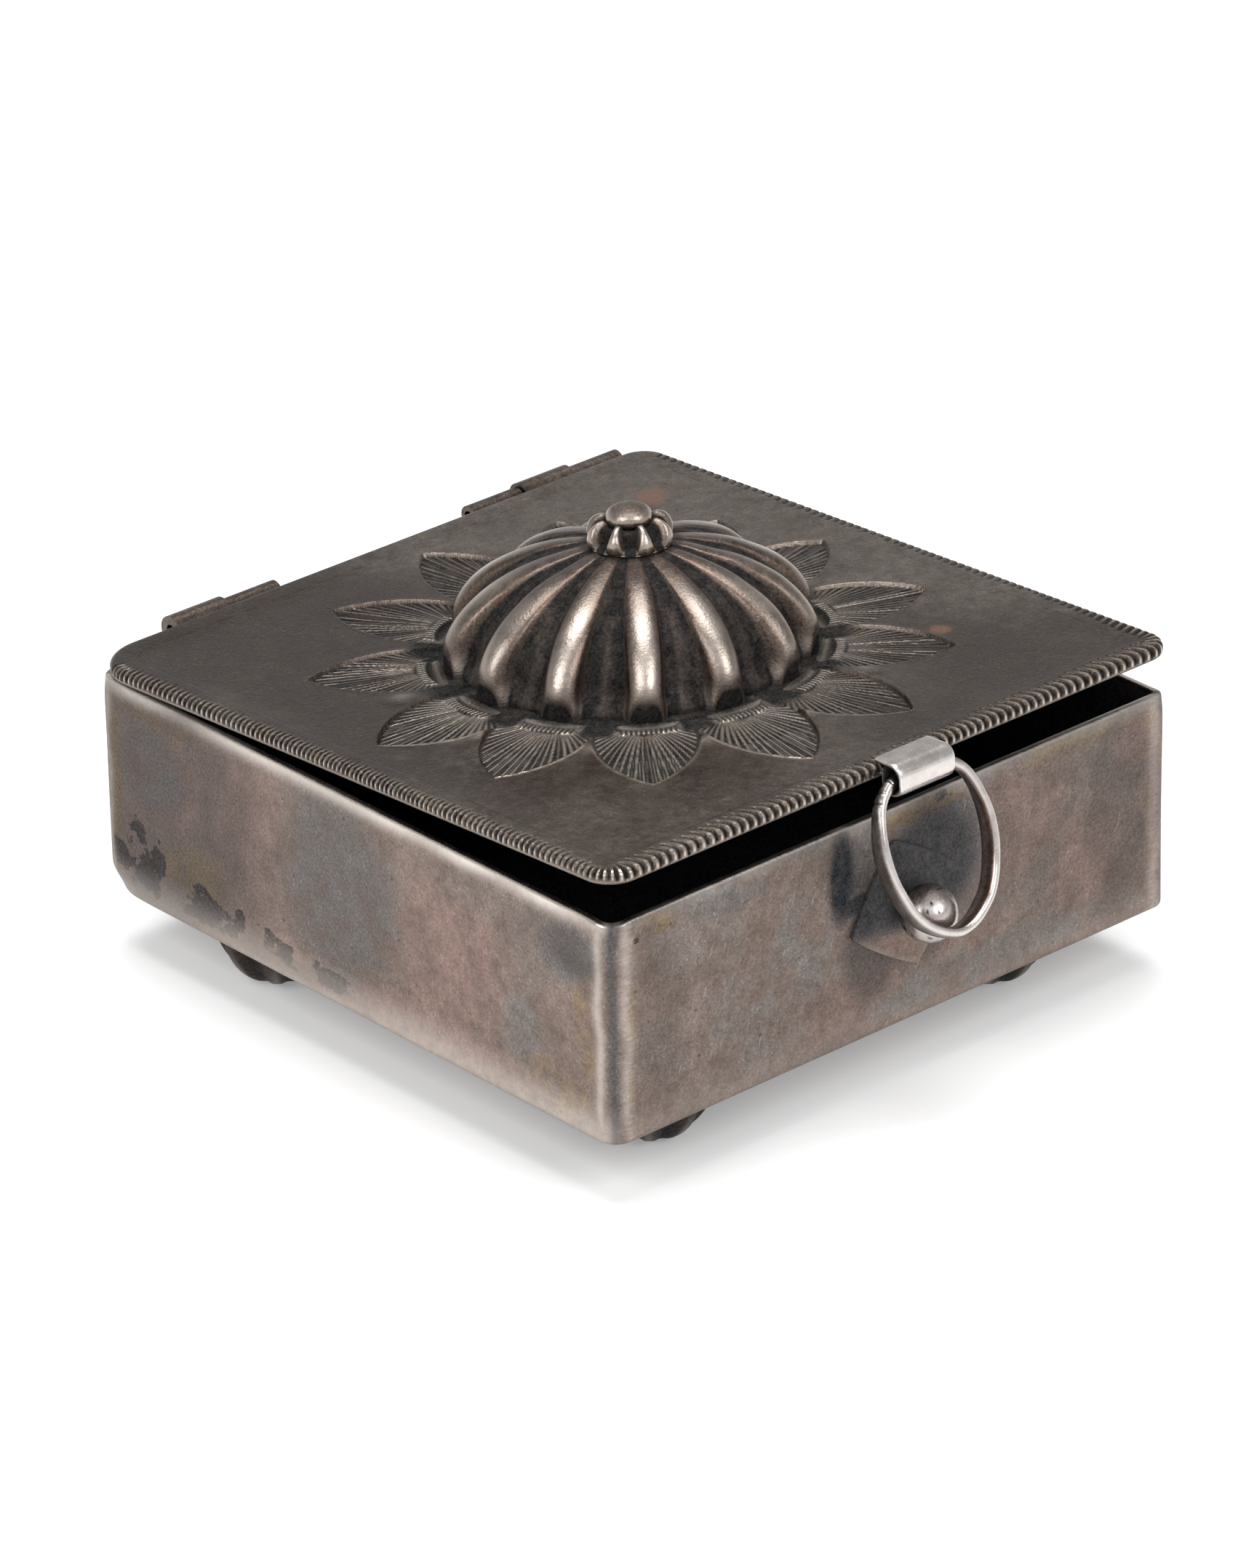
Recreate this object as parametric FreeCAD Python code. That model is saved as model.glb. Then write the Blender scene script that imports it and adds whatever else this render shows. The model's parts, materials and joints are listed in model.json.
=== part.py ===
import FreeCAD
import Part
import math
import os

from FreeCAD import Matrix, Vector

# Square silver keepsake box with a hinged lid, a fluted dome with a finial,
# and a swinging pull ring that rests on a ball stud. Millimetres, +Z up.
# The front wall faces -Y, the lid's hinge runs along X behind the back wall,
# and the feet stand on Z = 0.

# Body of the box
box_width = 70.0
box_depth = 73.3
body_height = 22.5
wall_thickness = 0.9
base_thickness = 0.9
left_corner_radius = 2.35
right_corner_radius = 1.2
inner_corner_radius = 0.3
base_edge_radius = 0.7

# Four stamped feet, placed by hand, so none mirrors another exactly
foot_height = 5.8
foot_radius = 6.2
foot_sole_radius = 1.3
foot_wall = 0.7
foot_lobes = 8
foot_lobe_depth_share = 0.1
foot_curve_power = 1.6
foot_level_shares = (0.0, 0.22, 0.48, 0.74, 1.0)
foot_place_shares = {
    "foot_front_left": (-0.65, -0.76),
    "foot_front_right": (0.60, -0.74),
    "foot_back_left": (-0.79, 0.53),
    "foot_back_right": (0.64, 0.60),
}

# Two knuckle hinges on the back
hinge_axis_out = 1.75
hinge_axis_rise = 0.15
pin_radius = 0.55
pin_fixed_gap = 0.02
pin_running_gap = 0.05
pin_end_inset = 0.9
box_knuckle_radius = 1.1
lid_knuckle_radius = 1.45
knuckle_length = 6.4
knuckle_side_gap = 0.15
knuckle_strap_thickness = 0.6
knuckle_strap_length = 5.0
knuckle_strap_top_gap = 0.35
left_hinge_start_share = -0.69
right_hinge_start_share = 0.382

# Lid sheet
lid_thickness = 1.2
lid_side_overhang = 0.41
lid_front_overhang = 0.7
lid_edge_to_axis = 1.3
lid_corner_radius = 3.0
lid_edge_round = 0.3
lid_seat_gap = 0.1
lid_ajar_angle = 3.1

# Fluted dome raised from the lid sheet
rib_count = 13
rib_start_angle = -157.5
dome_radius = 18.15
dome_height = 10.5
dome_wall = 0.8
dome_centre_x = 0.7
dome_centre_y = 0.25
rib_depth_share = 0.12
dome_curve_power = 0.6
dome_seat_share = 0.98
dome_level_shares = (0.0, 0.14, 0.32, 0.52, 0.70, 0.84, 0.93)

# Leaves stamped into the lid round the dome
leaf_depth = 0.25
leaf_tip_radius = 31.0
leaf_belly_radius = 23.4
leaf_base_radius = 18.9
leaf_half_width = 4.7
leaf_base_half_width = 2.4
leaf_flank_radius = 28.0
leaf_flank_half_width = 3.15
leaf_shoulder_radius = 20.6
leaf_shoulder_half_width = 4.1

# Finial: a fluted cap with a flattened ball, a little off the dome's centre
finial_shift_x = 0.9
finial_shift_y = 0.2
finial_lobes = 8
finial_lobe_depth_share = 0.14
finial_foot_radius = 3.4
finial_belly_radius = 4.2
finial_top_radius = 2.9
finial_belly_rise = 0.4
finial_shoulder_rise = 1.3
finial_cap_height = 2.8
finial_ball_radius = 2.2
finial_ball_flatness_share = 0.64
finial_ball_sink = 0.3

# Strap at the lid's front edge, bent round the bar of the ring
strap_width = 6.8
strap_centre_x = 0.9
strap_outer_radius = 1.375
strap_thickness = 0.5
strap_straight = 0.55
strap_tab = 0.75

# Pull ring: a flattened silver wire whose top runs as a round bar
ring_length = 15.2
ring_half_width = 6.45
ring_thickness = 1.0
ring_band_width = 2.2
ring_bar_radius = 0.55
ring_rest_gap = 0.06
ring_stations = 32

# Half of the ring's line: place across, drop, and growth from bar to band
ring_bow_shares = (
    (0.42, 0.000, 0.00),
    (0.62, 0.022, 0.06),
    (0.86, 0.130, 0.35),
    (1.00, 0.360, 0.85),
    (0.93, 0.620, 1.00),
    (0.62, 0.870, 1.00),
)

# Ball stud on its diamond plate
stud_ball_radius = 2.72
stud_ball_seat_share = 0.9
stud_plate_half_diagonal = 6.9
stud_plate_top_half_diagonal = 3.4
stud_plate_rise = 0.9
stud_plate_edge = 0.3
stud_plate_turn = -12.0
stud_above_ring = 0.35

# One overrun serves every cut that runs past a face
cut_overrun = 2.0

# Heights closer than this count as the same
same_height = 0.001

# Places worked out from the sizes above
half_width = box_width / 2
half_depth = box_depth / 2
left_hinge_start = half_width * left_hinge_start_share
right_hinge_start = half_width * right_hinge_start_share
base_z = foot_height
rim_z = base_z + body_height
axis_y = half_depth + hinge_axis_out
axis_z = rim_z + hinge_axis_rise
lid_low_z = rim_z + lid_seat_gap
lid_top_z = lid_low_z + lid_thickness
lid_front_y = -half_depth - lid_front_overhang
lid_back_y = axis_y - lid_edge_to_axis
strap_y = lid_front_y - strap_outer_radius
strap_upper_z = lid_top_z + strap_thickness - strap_outer_radius
ring_axis_z = strap_upper_z - strap_straight
dome_seat_z = lid_top_z + dome_height * dome_seat_share
finial_top_z = dome_seat_z + finial_cap_height
hinge_origin = Vector(0, axis_y, axis_z)
hinge_line = Vector(-1, 0, 0)

# One rib as shares: place along the pitch, and depth below the ridge
rib_shape_shares = (
    (-0.50, 1.00),
    (-0.38, 0.96),
    (-0.27, 0.58),
    (-0.15, 0.12),
    (0.00, 0.00),
    (0.15, 0.12),
    (0.27, 0.58),
    (0.38, 0.96),
    (0.50, 1.00),
)


def block(low, high):
    """Box between two opposite corners."""
    size = high - low
    return Part.makeBox(size.x, size.y, size.z, low)


def rod(radius, start_x, end_x, y, z):
    """Round rod along X."""
    return Part.makeCylinder(radius, end_x - start_x, Vector(start_x, y, z), Vector(1, 0, 0))


def rounded_prism(low, high, left_radius, right_radius):
    """Upright prism whose left and right corner pairs have their own radii."""
    solid = block(low, high)
    for corner_x, radius in ((low.x, left_radius), (high.x, right_radius)):
        edges = [edge for edge in solid.Edges if is_upright_at(edge, corner_x)]
        solid = solid.makeFillet(radius, edges)
    return solid


def is_upright_at(edge, corner_x):
    """Tell whether a straight edge stands upright at the given X."""
    ends = [vertex.Point for vertex in edge.Vertexes]
    if len(ends) != 2:
        return False
    upright = math.isclose(ends[0].x, ends[1].x) and math.isclose(ends[0].y, ends[1].y)
    return upright and math.isclose(ends[0].x, corner_x)


def level_edges(solid, z):
    """Edges that lie wholly at one height."""
    return [
        edge
        for edge in solid.Edges
        if all(abs(vertex.Z - z) < same_height for vertex in edge.Vertexes)
    ]


def smooth_edge(points, places):
    """Smooth curve through points at the given places along its length."""
    curve = Part.BSplineCurve()
    curve.interpolate(Points=points, Parameters=places)
    return curve.toShape()


def fluted_wire(centre, radius, z, lobes, depth_share, start_angle):
    """Closed outline of rounded lobes that meet in sharp valleys."""
    edges = []
    for lobe in range(lobes):
        points = []
        for place, depth in rib_shape_shares:
            turn = ((lobe + place) % lobes) / lobes
            angle = math.radians(start_angle) + 2 * math.pi * turn
            reach = radius * (1 - depth_share * depth)
            points.append(centre + Vector(reach * math.cos(angle), reach * math.sin(angle), z))
        edges.append(smooth_edge(points, [place for place, _ in rib_shape_shares]))
    return Part.Wire(edges)


def fluted_solid(centre, levels, lobes, depth_share, start_angle=0.0):
    """Solid lofted through fluted curves, one per (radius, z) pair."""
    wires = [fluted_wire(centre, radius, z, lobes, depth_share, start_angle) for radius, z in levels]
    return Part.makeLoft(wires, True, False)


def open_lid(shape):
    """Turn a piece made on the closed lid to the ajar position."""
    shape.rotate(hinge_origin, hinge_line, lid_ajar_angle)
    return shape


def wall_band():
    """Sheet bent round four sides, standing on the base plate."""
    low_z = base_z + base_thickness
    outer = rounded_prism(
        Vector(-half_width, -half_depth, low_z),
        Vector(half_width, half_depth, rim_z),
        left_corner_radius,
        right_corner_radius,
    )
    hollow = rounded_prism(
        Vector(wall_thickness - half_width, wall_thickness - half_depth, low_z - cut_overrun),
        Vector(half_width - wall_thickness, half_depth - wall_thickness, rim_z + cut_overrun),
        inner_corner_radius,
        inner_corner_radius,
    )
    return outer.cut(hollow)


def base_plate():
    """Bottom sheet with a rounded lower edge."""
    plate = rounded_prism(
        Vector(-half_width, -half_depth, base_z),
        Vector(half_width, half_depth, base_z + base_thickness),
        left_corner_radius,
        right_corner_radius,
    )
    return plate.makeFillet(base_edge_radius, level_edges(plate, base_z))


def foot_levels(inset):
    """Radius and height of a foot's sections, drawn in by a wall thickness."""
    levels = []
    for share in foot_level_shares:
        spread = math.sqrt(1 - (1 - share) ** foot_curve_power)
        radius = foot_sole_radius + (foot_radius - foot_sole_radius) * spread
        levels.append((radius - inset, share * foot_height))
    return levels


def foot():
    """Stamped, fluted foot: an upside-down cup with a small flat sole."""
    centre = Vector(0, 0, 0)
    cup = fluted_solid(centre, foot_levels(0), foot_lobes, foot_lobe_depth_share)
    inner = [(radius, z + foot_wall) for radius, z in foot_levels(foot_wall)]
    return cup.cut(fluted_solid(centre, inner, foot_lobes, foot_lobe_depth_share))


def feet():
    """Four copies of the foot, by node name."""
    stamped = foot()
    placed = {}
    for name, (x_share, y_share) in foot_place_shares.items():
        placed[name] = stamped.copy()
        placed[name].translate(Vector(x_share * half_width, y_share * half_depth, 0))
    return placed


def knuckle_span(start, index):
    """Start and end of the numbered knuckle of a hinge."""
    low = start + index * (knuckle_length + knuckle_side_gap)
    return low, low + knuckle_length


def box_knuckle(start, index):
    """Knuckle with a strap that lies flat on the back wall."""
    low, high = knuckle_span(start, index)
    strap_top = rim_z - knuckle_strap_top_gap
    tube = rod(box_knuckle_radius, low, high, axis_y, axis_z)
    neck = block(
        Vector(low, half_depth, axis_z - box_knuckle_radius),
        Vector(high, axis_y, strap_top),
    )
    strap = block(
        Vector(low, half_depth, strap_top - knuckle_strap_length),
        Vector(high, half_depth + knuckle_strap_thickness, strap_top),
    )
    bore = rod(pin_radius + pin_fixed_gap, low - cut_overrun, high + cut_overrun, axis_y, axis_z)
    return tube.fuse([neck, strap]).removeSplitter().cut(bore)


def lid_knuckle(start, index):
    """Knuckle cut flat where it is soldered to the lid's back edge."""
    low, high = knuckle_span(start, index)
    tube = rod(lid_knuckle_radius, low, high, axis_y, axis_z)
    beyond = block(
        Vector(low - cut_overrun, lid_back_y - lid_knuckle_radius, axis_z - lid_knuckle_radius),
        Vector(high + cut_overrun, lid_back_y, axis_z + lid_knuckle_radius),
    )
    bore = rod(pin_radius + pin_running_gap, low - cut_overrun, high + cut_overrun, axis_y, axis_z)
    return open_lid(tube.cut(beyond).cut(bore))


def hinge_pin(start, knuckles):
    """Pin that ends just inside the first and last knuckles."""
    low = knuckle_span(start, 0)[0] + pin_end_inset
    high = knuckle_span(start, knuckles - 1)[1] - pin_end_inset
    return rod(pin_radius, low, high, axis_y, axis_z)


def dome_levels(inset):
    """Radius and height of the dome's sections, drawn in by a wall thickness."""
    levels = []
    for share in dome_level_shares + (dome_seat_share,):
        radius = dome_radius * math.sqrt(1 - share ** (1 / dome_curve_power))
        levels.append((radius - inset, lid_top_z + share * dome_height - inset))
    return levels


def dome_centre():
    """Centre of the dome in plan."""
    return Vector(dome_centre_x, dome_centre_y, 0)


def finial_centre():
    """Centre of the finial in plan."""
    return dome_centre() + Vector(finial_shift_x, finial_shift_y, 0)


def dome_hollow():
    """Space under the dome, which opens through the lid's underside."""
    levels = dome_levels(dome_wall)
    mouth = (dome_radius - dome_wall, lid_low_z - cut_overrun)
    return fluted_solid(dome_centre(), [mouth] + levels, rib_count, rib_depth_share, rib_start_angle)


def leaf(angle):
    """One leaf-shaped recess that points away from the dome."""
    tip = Vector(leaf_tip_radius, 0, 0)
    edges = []
    for side in (1, -1):
        flank = Vector(leaf_flank_radius, side * leaf_flank_half_width, 0)
        belly = Vector(leaf_belly_radius, side * leaf_half_width, 0)
        shoulder = Vector(leaf_shoulder_radius, side * leaf_shoulder_half_width, 0)
        base = Vector(leaf_base_radius, side * leaf_base_half_width, 0)
        edges.append(Part.Arc(tip, flank, belly).toShape())
        edges.append(Part.Arc(belly, shoulder, base).toShape())
    low = Vector(leaf_base_radius, -leaf_base_half_width, 0)
    high = Vector(leaf_base_radius, leaf_base_half_width, 0)
    edges.append(Part.LineSegment(low, high).toShape())
    face = Part.Face(Part.Wire(Part.__sortEdges__(edges)))
    recess = face.extrude(Vector(0, 0, leaf_depth + cut_overrun))
    recess.rotate(Vector(0, 0, 0), Vector(0, 0, 1), angle)
    recess.translate(dome_centre() + Vector(0, 0, lid_top_z - leaf_depth))
    return recess


def lid_sheet():
    """Lid of one sheet: flat border, stamped leaves and hollow fluted dome."""
    plate = rounded_prism(
        Vector(-half_width - lid_side_overhang, lid_front_y, lid_low_z),
        Vector(half_width + lid_side_overhang, lid_back_y, lid_top_z),
        lid_corner_radius,
        lid_corner_radius,
    )
    plate = plate.makeFillet(lid_edge_round, level_edges(plate, lid_top_z))
    pitch = 360.0 / rib_count
    leaves = [leaf(rib_start_angle + number * pitch) for number in range(rib_count)]
    plate = plate.cut(leaves)
    dome = fluted_solid(dome_centre(), dome_levels(0), rib_count, rib_depth_share, rib_start_angle)
    return open_lid(plate.fuse(dome).cut(dome_hollow()))


def finial_cap():
    """Fluted flower cap seated on the dome's flat top."""
    levels = (
        (finial_foot_radius, dome_seat_z),
        (finial_belly_radius, dome_seat_z + finial_belly_rise),
        (finial_belly_radius, dome_seat_z + finial_shoulder_rise),
        (finial_top_radius, finial_top_z),
    )
    return open_lid(fluted_solid(finial_centre(), levels, finial_lobes, finial_lobe_depth_share))


def seated_ball(radius, centre, seat_point, outward):
    """Ball cut flat where it is soldered to its seat."""
    ball = Part.makeSphere(radius, centre)
    below = Part.makeCylinder(radius + cut_overrun, radius + radius, seat_point, -outward)
    return ball.cut(below)


def finial_ball():
    """Flattened ball that tops the finial, sunk a little into the cap's crown."""
    seat = finial_centre() + Vector(0, 0, finial_top_z)
    middle = Vector(0, 0, finial_ball_sink)
    ball = Part.makeSphere(finial_ball_radius)
    flatten = Matrix()
    flatten.scale(1, 1, finial_ball_flatness_share)
    button = ball.transformGeometry(flatten)
    button.translate(middle)
    below = Part.makeCylinder(
        finial_ball_radius + cut_overrun, finial_ball_radius, Vector(0, 0, 0), Vector(0, 0, -1)
    )
    button = button.cut(below)
    button.translate(seat)
    return open_lid(button)


def slot_rod(radius, start_x, end_x):
    """Rod with a stadium section, tall enough for the strap's two bends."""
    lower = rod(radius, start_x, end_x, strap_y, ring_axis_z)
    upper = rod(radius, start_x, end_x, strap_y, strap_upper_z)
    middle = block(
        Vector(start_x, strap_y - radius, ring_axis_z),
        Vector(end_x, strap_y + radius, strap_upper_z),
    )
    return lower.fuse([upper, middle]).removeSplitter()


def ring_strap():
    """Bent strap with a tab on the lid and a loop for the ring's bar."""
    low = strap_centre_x - strap_width / 2
    high = strap_centre_x + strap_width / 2
    tab = block(
        Vector(low, strap_y, lid_top_z),
        Vector(high, lid_front_y + strap_tab, lid_top_z + strap_thickness),
    )
    loop = slot_rod(strap_outer_radius, low, high).fuse(tab).removeSplitter()
    inner_radius = strap_outer_radius - strap_thickness
    return open_lid(loop.cut(slot_rod(inner_radius, low - cut_overrun, high + cut_overrun)))


def turned_about_hinge(y, z):
    """Where a point of the closed lid comes to with the lid ajar."""
    angle = math.radians(lid_ajar_angle)
    reach = y - axis_y
    rise = z - axis_z
    turned_y = axis_y + reach * math.cos(angle) + rise * math.sin(angle)
    turned_z = axis_z - reach * math.sin(angle) + rise * math.cos(angle)
    return turned_y, turned_z


def stud_ball_out():
    """Distance of the stud ball's centre from the front wall."""
    return stud_plate_rise + stud_ball_radius * stud_ball_seat_share


def ring_lean():
    """Angle from upright at which the ring's bow rests on the stud ball."""
    bar_y = turned_about_hinge(strap_y, ring_axis_z)[0]
    bar_out = -half_depth - bar_y
    bow_out = stud_ball_out() + stud_ball_radius + ring_band_width / 2 + ring_rest_gap
    return math.degrees(math.asin((bow_out - bar_out) / ring_length))


def stud_z():
    """Height of the stud, level with the resting ring's bow."""
    bar_z = turned_about_hinge(strap_y, ring_axis_z)[1]
    return bar_z - ring_length * math.cos(math.radians(ring_lean())) + stud_above_ring


def ring_centreline():
    """Closed smooth line of the ring, from the middle of its bar round the bow."""
    right = [Vector(x * ring_half_width, 0, -drop * ring_length) for x, drop, _ in ring_bow_shares]
    left = [Vector(-point.x, 0, point.z) for point in reversed(right)]
    curve = Part.BSplineCurve()
    points = [Vector(0, 0, 0)] + right + [Vector(0, 0, -ring_length)] + left
    curve.interpolate(Points=points, PeriodicFlag=True)
    return curve


def band_growth(drop_share):
    """How far the round bar has grown into the flat band at a share of the drop."""
    for (_, high, before), (_, low, after) in zip(ring_bow_shares, ring_bow_shares[1:]):
        if drop_share <= low:
            passed = max(drop_share - high, 0) / (low - high)
            return before + (after - before) * passed
    return 1.0


def ring_section(curve, parameter):
    """Oval section of the ring, square to its centreline."""
    point = curve.value(parameter)
    along = Vector(*curve.tangent(parameter)[0])
    across = Vector(0, 1, 0)
    inward = across.cross(along).normalize()
    growth = band_growth(-point.z / ring_length)
    half_band = ring_bar_radius + (ring_band_width / 2 - ring_bar_radius) * growth
    half_thickness = ring_bar_radius + (ring_thickness / 2 - ring_bar_radius) * growth
    section = Part.Ellipse(point + across * half_band, point + inward * half_thickness, point)
    return Part.Wire([section.toShape()])


def pull_ring():
    """Ring of flattened wire, hung from its bar and leaning on the stud."""
    curve = ring_centreline()
    first = curve.FirstParameter
    span = curve.LastParameter - first
    sections = [
        ring_section(curve, first + span * index / ring_stations)
        for index in range(ring_stations)
    ]
    ring = Part.makeLoft(sections, True, False, True)
    lean_on_lid = ring_lean() - lid_ajar_angle
    ring.rotate(Vector(0, 0, 0), Vector(-1, 0, 0), lean_on_lid)
    ring.translate(Vector(strap_centre_x, strap_y, ring_axis_z))
    return open_lid(ring)


def diamond(half_diagonal, out):
    """Square outline set on its corner, at a distance from the front wall."""
    centre = Vector(strap_centre_x, -half_depth - out, stud_z())
    points = []
    for corner in range(4):
        angle = math.radians(stud_plate_turn + 90.0 * corner)
        points.append(centre + Vector(half_diagonal * math.sin(angle), 0, half_diagonal * math.cos(angle)))
    return Part.makePolygon(points + [points[0]])


def stud_plate():
    """Diamond plate with a thin edge and four sloping facets."""
    rim = Part.makeLoft(
        [diamond(stud_plate_half_diagonal, 0), diamond(stud_plate_half_diagonal, stud_plate_edge)],
        True,
        True,
    )
    facets = Part.makeLoft(
        [
            diamond(stud_plate_half_diagonal, stud_plate_edge),
            diamond(stud_plate_top_half_diagonal, stud_plate_rise),
        ],
        True,
        True,
    )
    return rim.fuse(facets).removeSplitter()


def stud_ball():
    """Solid ball that stops the ring and catches it when the lid is shut."""
    seat = Vector(strap_centre_x, -half_depth - stud_plate_rise, stud_z())
    centre = Vector(strap_centre_x, -half_depth - stud_ball_out(), stud_z())
    return seated_ball(stud_ball_radius, centre, seat, Vector(0, -1, 0))


def build_pieces():
    """Every piece of the box, by node name, at rest with the lid ajar."""
    pieces = {
        "wall_band": wall_band(),
        "base_plate": base_plate(),
        "stud_plate": stud_plate(),
        "stud_ball": stud_ball(),
        "box_knuckle_left": box_knuckle(left_hinge_start, 1),
        "box_knuckle_right_inner": box_knuckle(right_hinge_start, 0),
        "box_knuckle_right_outer": box_knuckle(right_hinge_start, 2),
        "hinge_pin_left": hinge_pin(left_hinge_start, 2),
        "hinge_pin_right": hinge_pin(right_hinge_start, 3),
        "lid_sheet": lid_sheet(),
        "lid_knuckle_left": lid_knuckle(left_hinge_start, 0),
        "lid_knuckle_right": lid_knuckle(right_hinge_start, 1),
        "finial_cap": finial_cap(),
        "finial_ball": finial_ball(),
        "ring_strap": ring_strap(),
        "pull_ring": pull_ring(),
    }
    pieces.update(feet())
    return pieces


def main():
    """Centre the whole box over the origin and write one file per piece."""
    os.makedirs("parts", exist_ok=True)
    pieces = build_pieces()
    bounds = Part.makeCompound(list(pieces.values())).optimalBoundingBox(False)
    shift = Vector(-bounds.Center.x, -bounds.Center.y, 0)
    for name, shape in pieces.items():
        shape.translate(shift)
        shape.exportStep("parts/" + name + ".step")
        print(name, shape.isValid(), len(shape.Solids), round(shape.Volume, 1))
    bar_y, bar_z = turned_about_hinge(strap_y, ring_axis_z)
    print("size", bounds.XLength, bounds.YLength, bounds.ZLength, "shift", shift)
    print("lid hinge", shift.x, axis_y + shift.y, axis_z)
    print("ring bar", strap_centre_x + shift.x, bar_y + shift.y, bar_z, "lean", ring_lean())
    print("stud", stud_z(), "front wall", shift.y - half_depth)


main()
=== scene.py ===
"""Looks of a square silver keepsake box: fluted dome, stamped leaves, filed lid edge and pull ring.

Sizes are in millimetres and become metres when a mesh is made. The lid's surfaces are worked out
with the lid shut, and then turned about the hinge to the slightly open rest position.
"""

import json
import logging
import math
from dataclasses import dataclass, field
from enum import Enum
from functools import cache
from typing import Sequence

import bpy
import numpy as np
from mathutils import Matrix, Vector


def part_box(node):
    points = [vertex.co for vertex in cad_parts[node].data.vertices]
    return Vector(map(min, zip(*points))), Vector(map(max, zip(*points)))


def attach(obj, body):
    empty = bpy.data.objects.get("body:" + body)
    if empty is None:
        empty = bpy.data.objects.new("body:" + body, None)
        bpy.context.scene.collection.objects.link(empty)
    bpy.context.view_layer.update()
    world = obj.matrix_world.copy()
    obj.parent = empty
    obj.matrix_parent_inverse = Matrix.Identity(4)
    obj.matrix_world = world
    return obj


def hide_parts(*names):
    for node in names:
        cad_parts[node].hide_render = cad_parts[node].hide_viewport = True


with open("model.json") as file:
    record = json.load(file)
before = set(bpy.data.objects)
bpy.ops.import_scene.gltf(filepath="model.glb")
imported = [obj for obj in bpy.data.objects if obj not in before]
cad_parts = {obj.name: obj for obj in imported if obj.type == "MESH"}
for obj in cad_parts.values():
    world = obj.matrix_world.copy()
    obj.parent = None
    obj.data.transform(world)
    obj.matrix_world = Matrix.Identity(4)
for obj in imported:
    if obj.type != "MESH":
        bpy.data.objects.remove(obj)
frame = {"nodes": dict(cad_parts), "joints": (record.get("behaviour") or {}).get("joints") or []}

log = logging.getLogger("silver_box")

MM = 0.001
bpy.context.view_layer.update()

# Numbers of the two colour sockets of a Mix node
UNDER, OVER = 6, 7

# Level direction towards the front left, where the camera stands and most of the light comes from
TO_CAMERA = (-0.66, -0.75, 0.0)

# Angle in degrees from which an edge of a mesh stays crisp
CRISP_ANGLE = 50.0

# Angle in radians that a ball's first row keeps from its pole
POLE_GAP = 0.03

# Distance past the whole box, and how often a search between 0 and it halves its range
FAR = 100.0
HALVINGS = 40


class Body(Enum):
    """Bodies that the pieces ride on."""

    BOX = "box"
    LID = "lid"
    RING = "ring"


class Stain(Enum):
    """What age has done at a place, with painted shade in the soot value and painted highlights in the wear
    value; each is a value from 0 to 1 kept on the mesh.
    """

    WARM = "warm"
    COOL = "cool"
    GOLD = "gold"
    BLOT = "blot"
    SOOT_AND_SHADE = "soot_and_shade"
    WEAR_AND_HIGHLIGHT = "wear_and_highlight"
    FILED = "filed"


# Short names for the stains, in the order above
WARM, COOL, GOLD, BLOT, SOOT_AND_SHADE, WEAR_AND_HIGHLIGHT, FILED = Stain

# Short names for the types in most signatures
Array = np.ndarray
Stains = dict[Stain, Array]
Tree, Node, Socket = bpy.types.NodeTree, bpy.types.Node, bpy.types.NodeSocket


def millimetres(vector: Vector) -> Array:
    """Return a vector in metres as an array in millimetres."""
    return np.array(vector, float) / MM


def solid_box(node: str) -> tuple[Array, Array]:
    """Return the low and high corners of a solid of the frame, in millimetres."""
    low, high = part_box(node)
    return millimetres(low), millimetres(high)


def joint_of(name: str) -> dict:
    """Return a joint of the frame by its name."""
    return next(joint for joint in frame["joints"] if joint["name"] == name)


def linear(hex_colour: str) -> tuple[float, float, float, float]:
    """Turn an sRGB hex colour such as "#8f857e" into linear red, green, blue and alpha.

    Args:
        hex_colour: the colour.

    Returns:
        Four linear values.
    """
    parts = np.array([int(hex_colour[i : i + 2], 16) for i in (1, 3, 5)]) / 255.0
    low = parts / 12.92
    high = ((parts + 0.055) / 1.055) ** 2.4
    return (*np.where(parts <= 0.04045, low, high).tolist(), 1.0)


def rise(values: Array, low: float, high: float) -> Array:
    """Smooth step: 0 below low, 1 above high, and 3t^2 - 2t^3 between them."""
    share = np.clip((values - low) / (high - low), 0.0, 1.0)
    return share * share * (3.0 - 2.0 * share)


def hump(values: Array, centre: float, spread: float) -> Array:
    """Bell curve: e to the minus square of the distance from the centre over the spread."""
    return np.exp(-(((values - centre) / spread) ** 2))


def swell(points: Array, wavelength: float, seed: int) -> Array:
    """Slow random waviness: a third of the sum of six sines in random directions.

    Args:
        points: array whose last axis is x, y, z in millimetres.
        wavelength: typical distance from crest to crest.
        seed: number that fixes the random directions.

    Returns:
        Values of about -1 to 1, one per point.
    """
    dice = np.random.default_rng(seed)
    total = np.zeros(points.shape[:-1])
    for _ in range(6):
        direction = dice.normal(size=3)
        direction /= np.linalg.norm(direction)
        turns = 2.0 * math.pi / (wavelength * dice.uniform(0.7, 1.5))
        total += np.sin(points @ direction * turns + dice.uniform(0.0, 2.0 * math.pi))
    return total / 3.0


def from_whole(values: Array) -> Array:
    """Distance of each value from the nearest whole number."""
    return np.abs((values + 0.5) % 1.0 - 0.5)


def full_turn(count: int) -> Array:
    """Row of even angles once round."""
    return np.linspace(0.0, 2 * np.pi, count, endpoint=False)[None]


def signed_power(values: Array, power: float | Array) -> Array:
    """Power that keeps the sign; a power under 1 squares off a circle's cosine and sine."""
    return np.sign(values) * np.abs(values) ** power


def grid(*parts: Array | float) -> Array:
    """Join x, y and z, each a grid, row, column or single value, into one grid of points."""
    return np.stack(np.broadcast_arrays(*parts), axis=-1)


def lay(stains: Stains, stain: Stain, mask: Array) -> None:
    """Lay a mask over a stain, keeping the stronger of the two at each place."""
    stains[stain] = np.maximum(stains[stain], mask)


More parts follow.
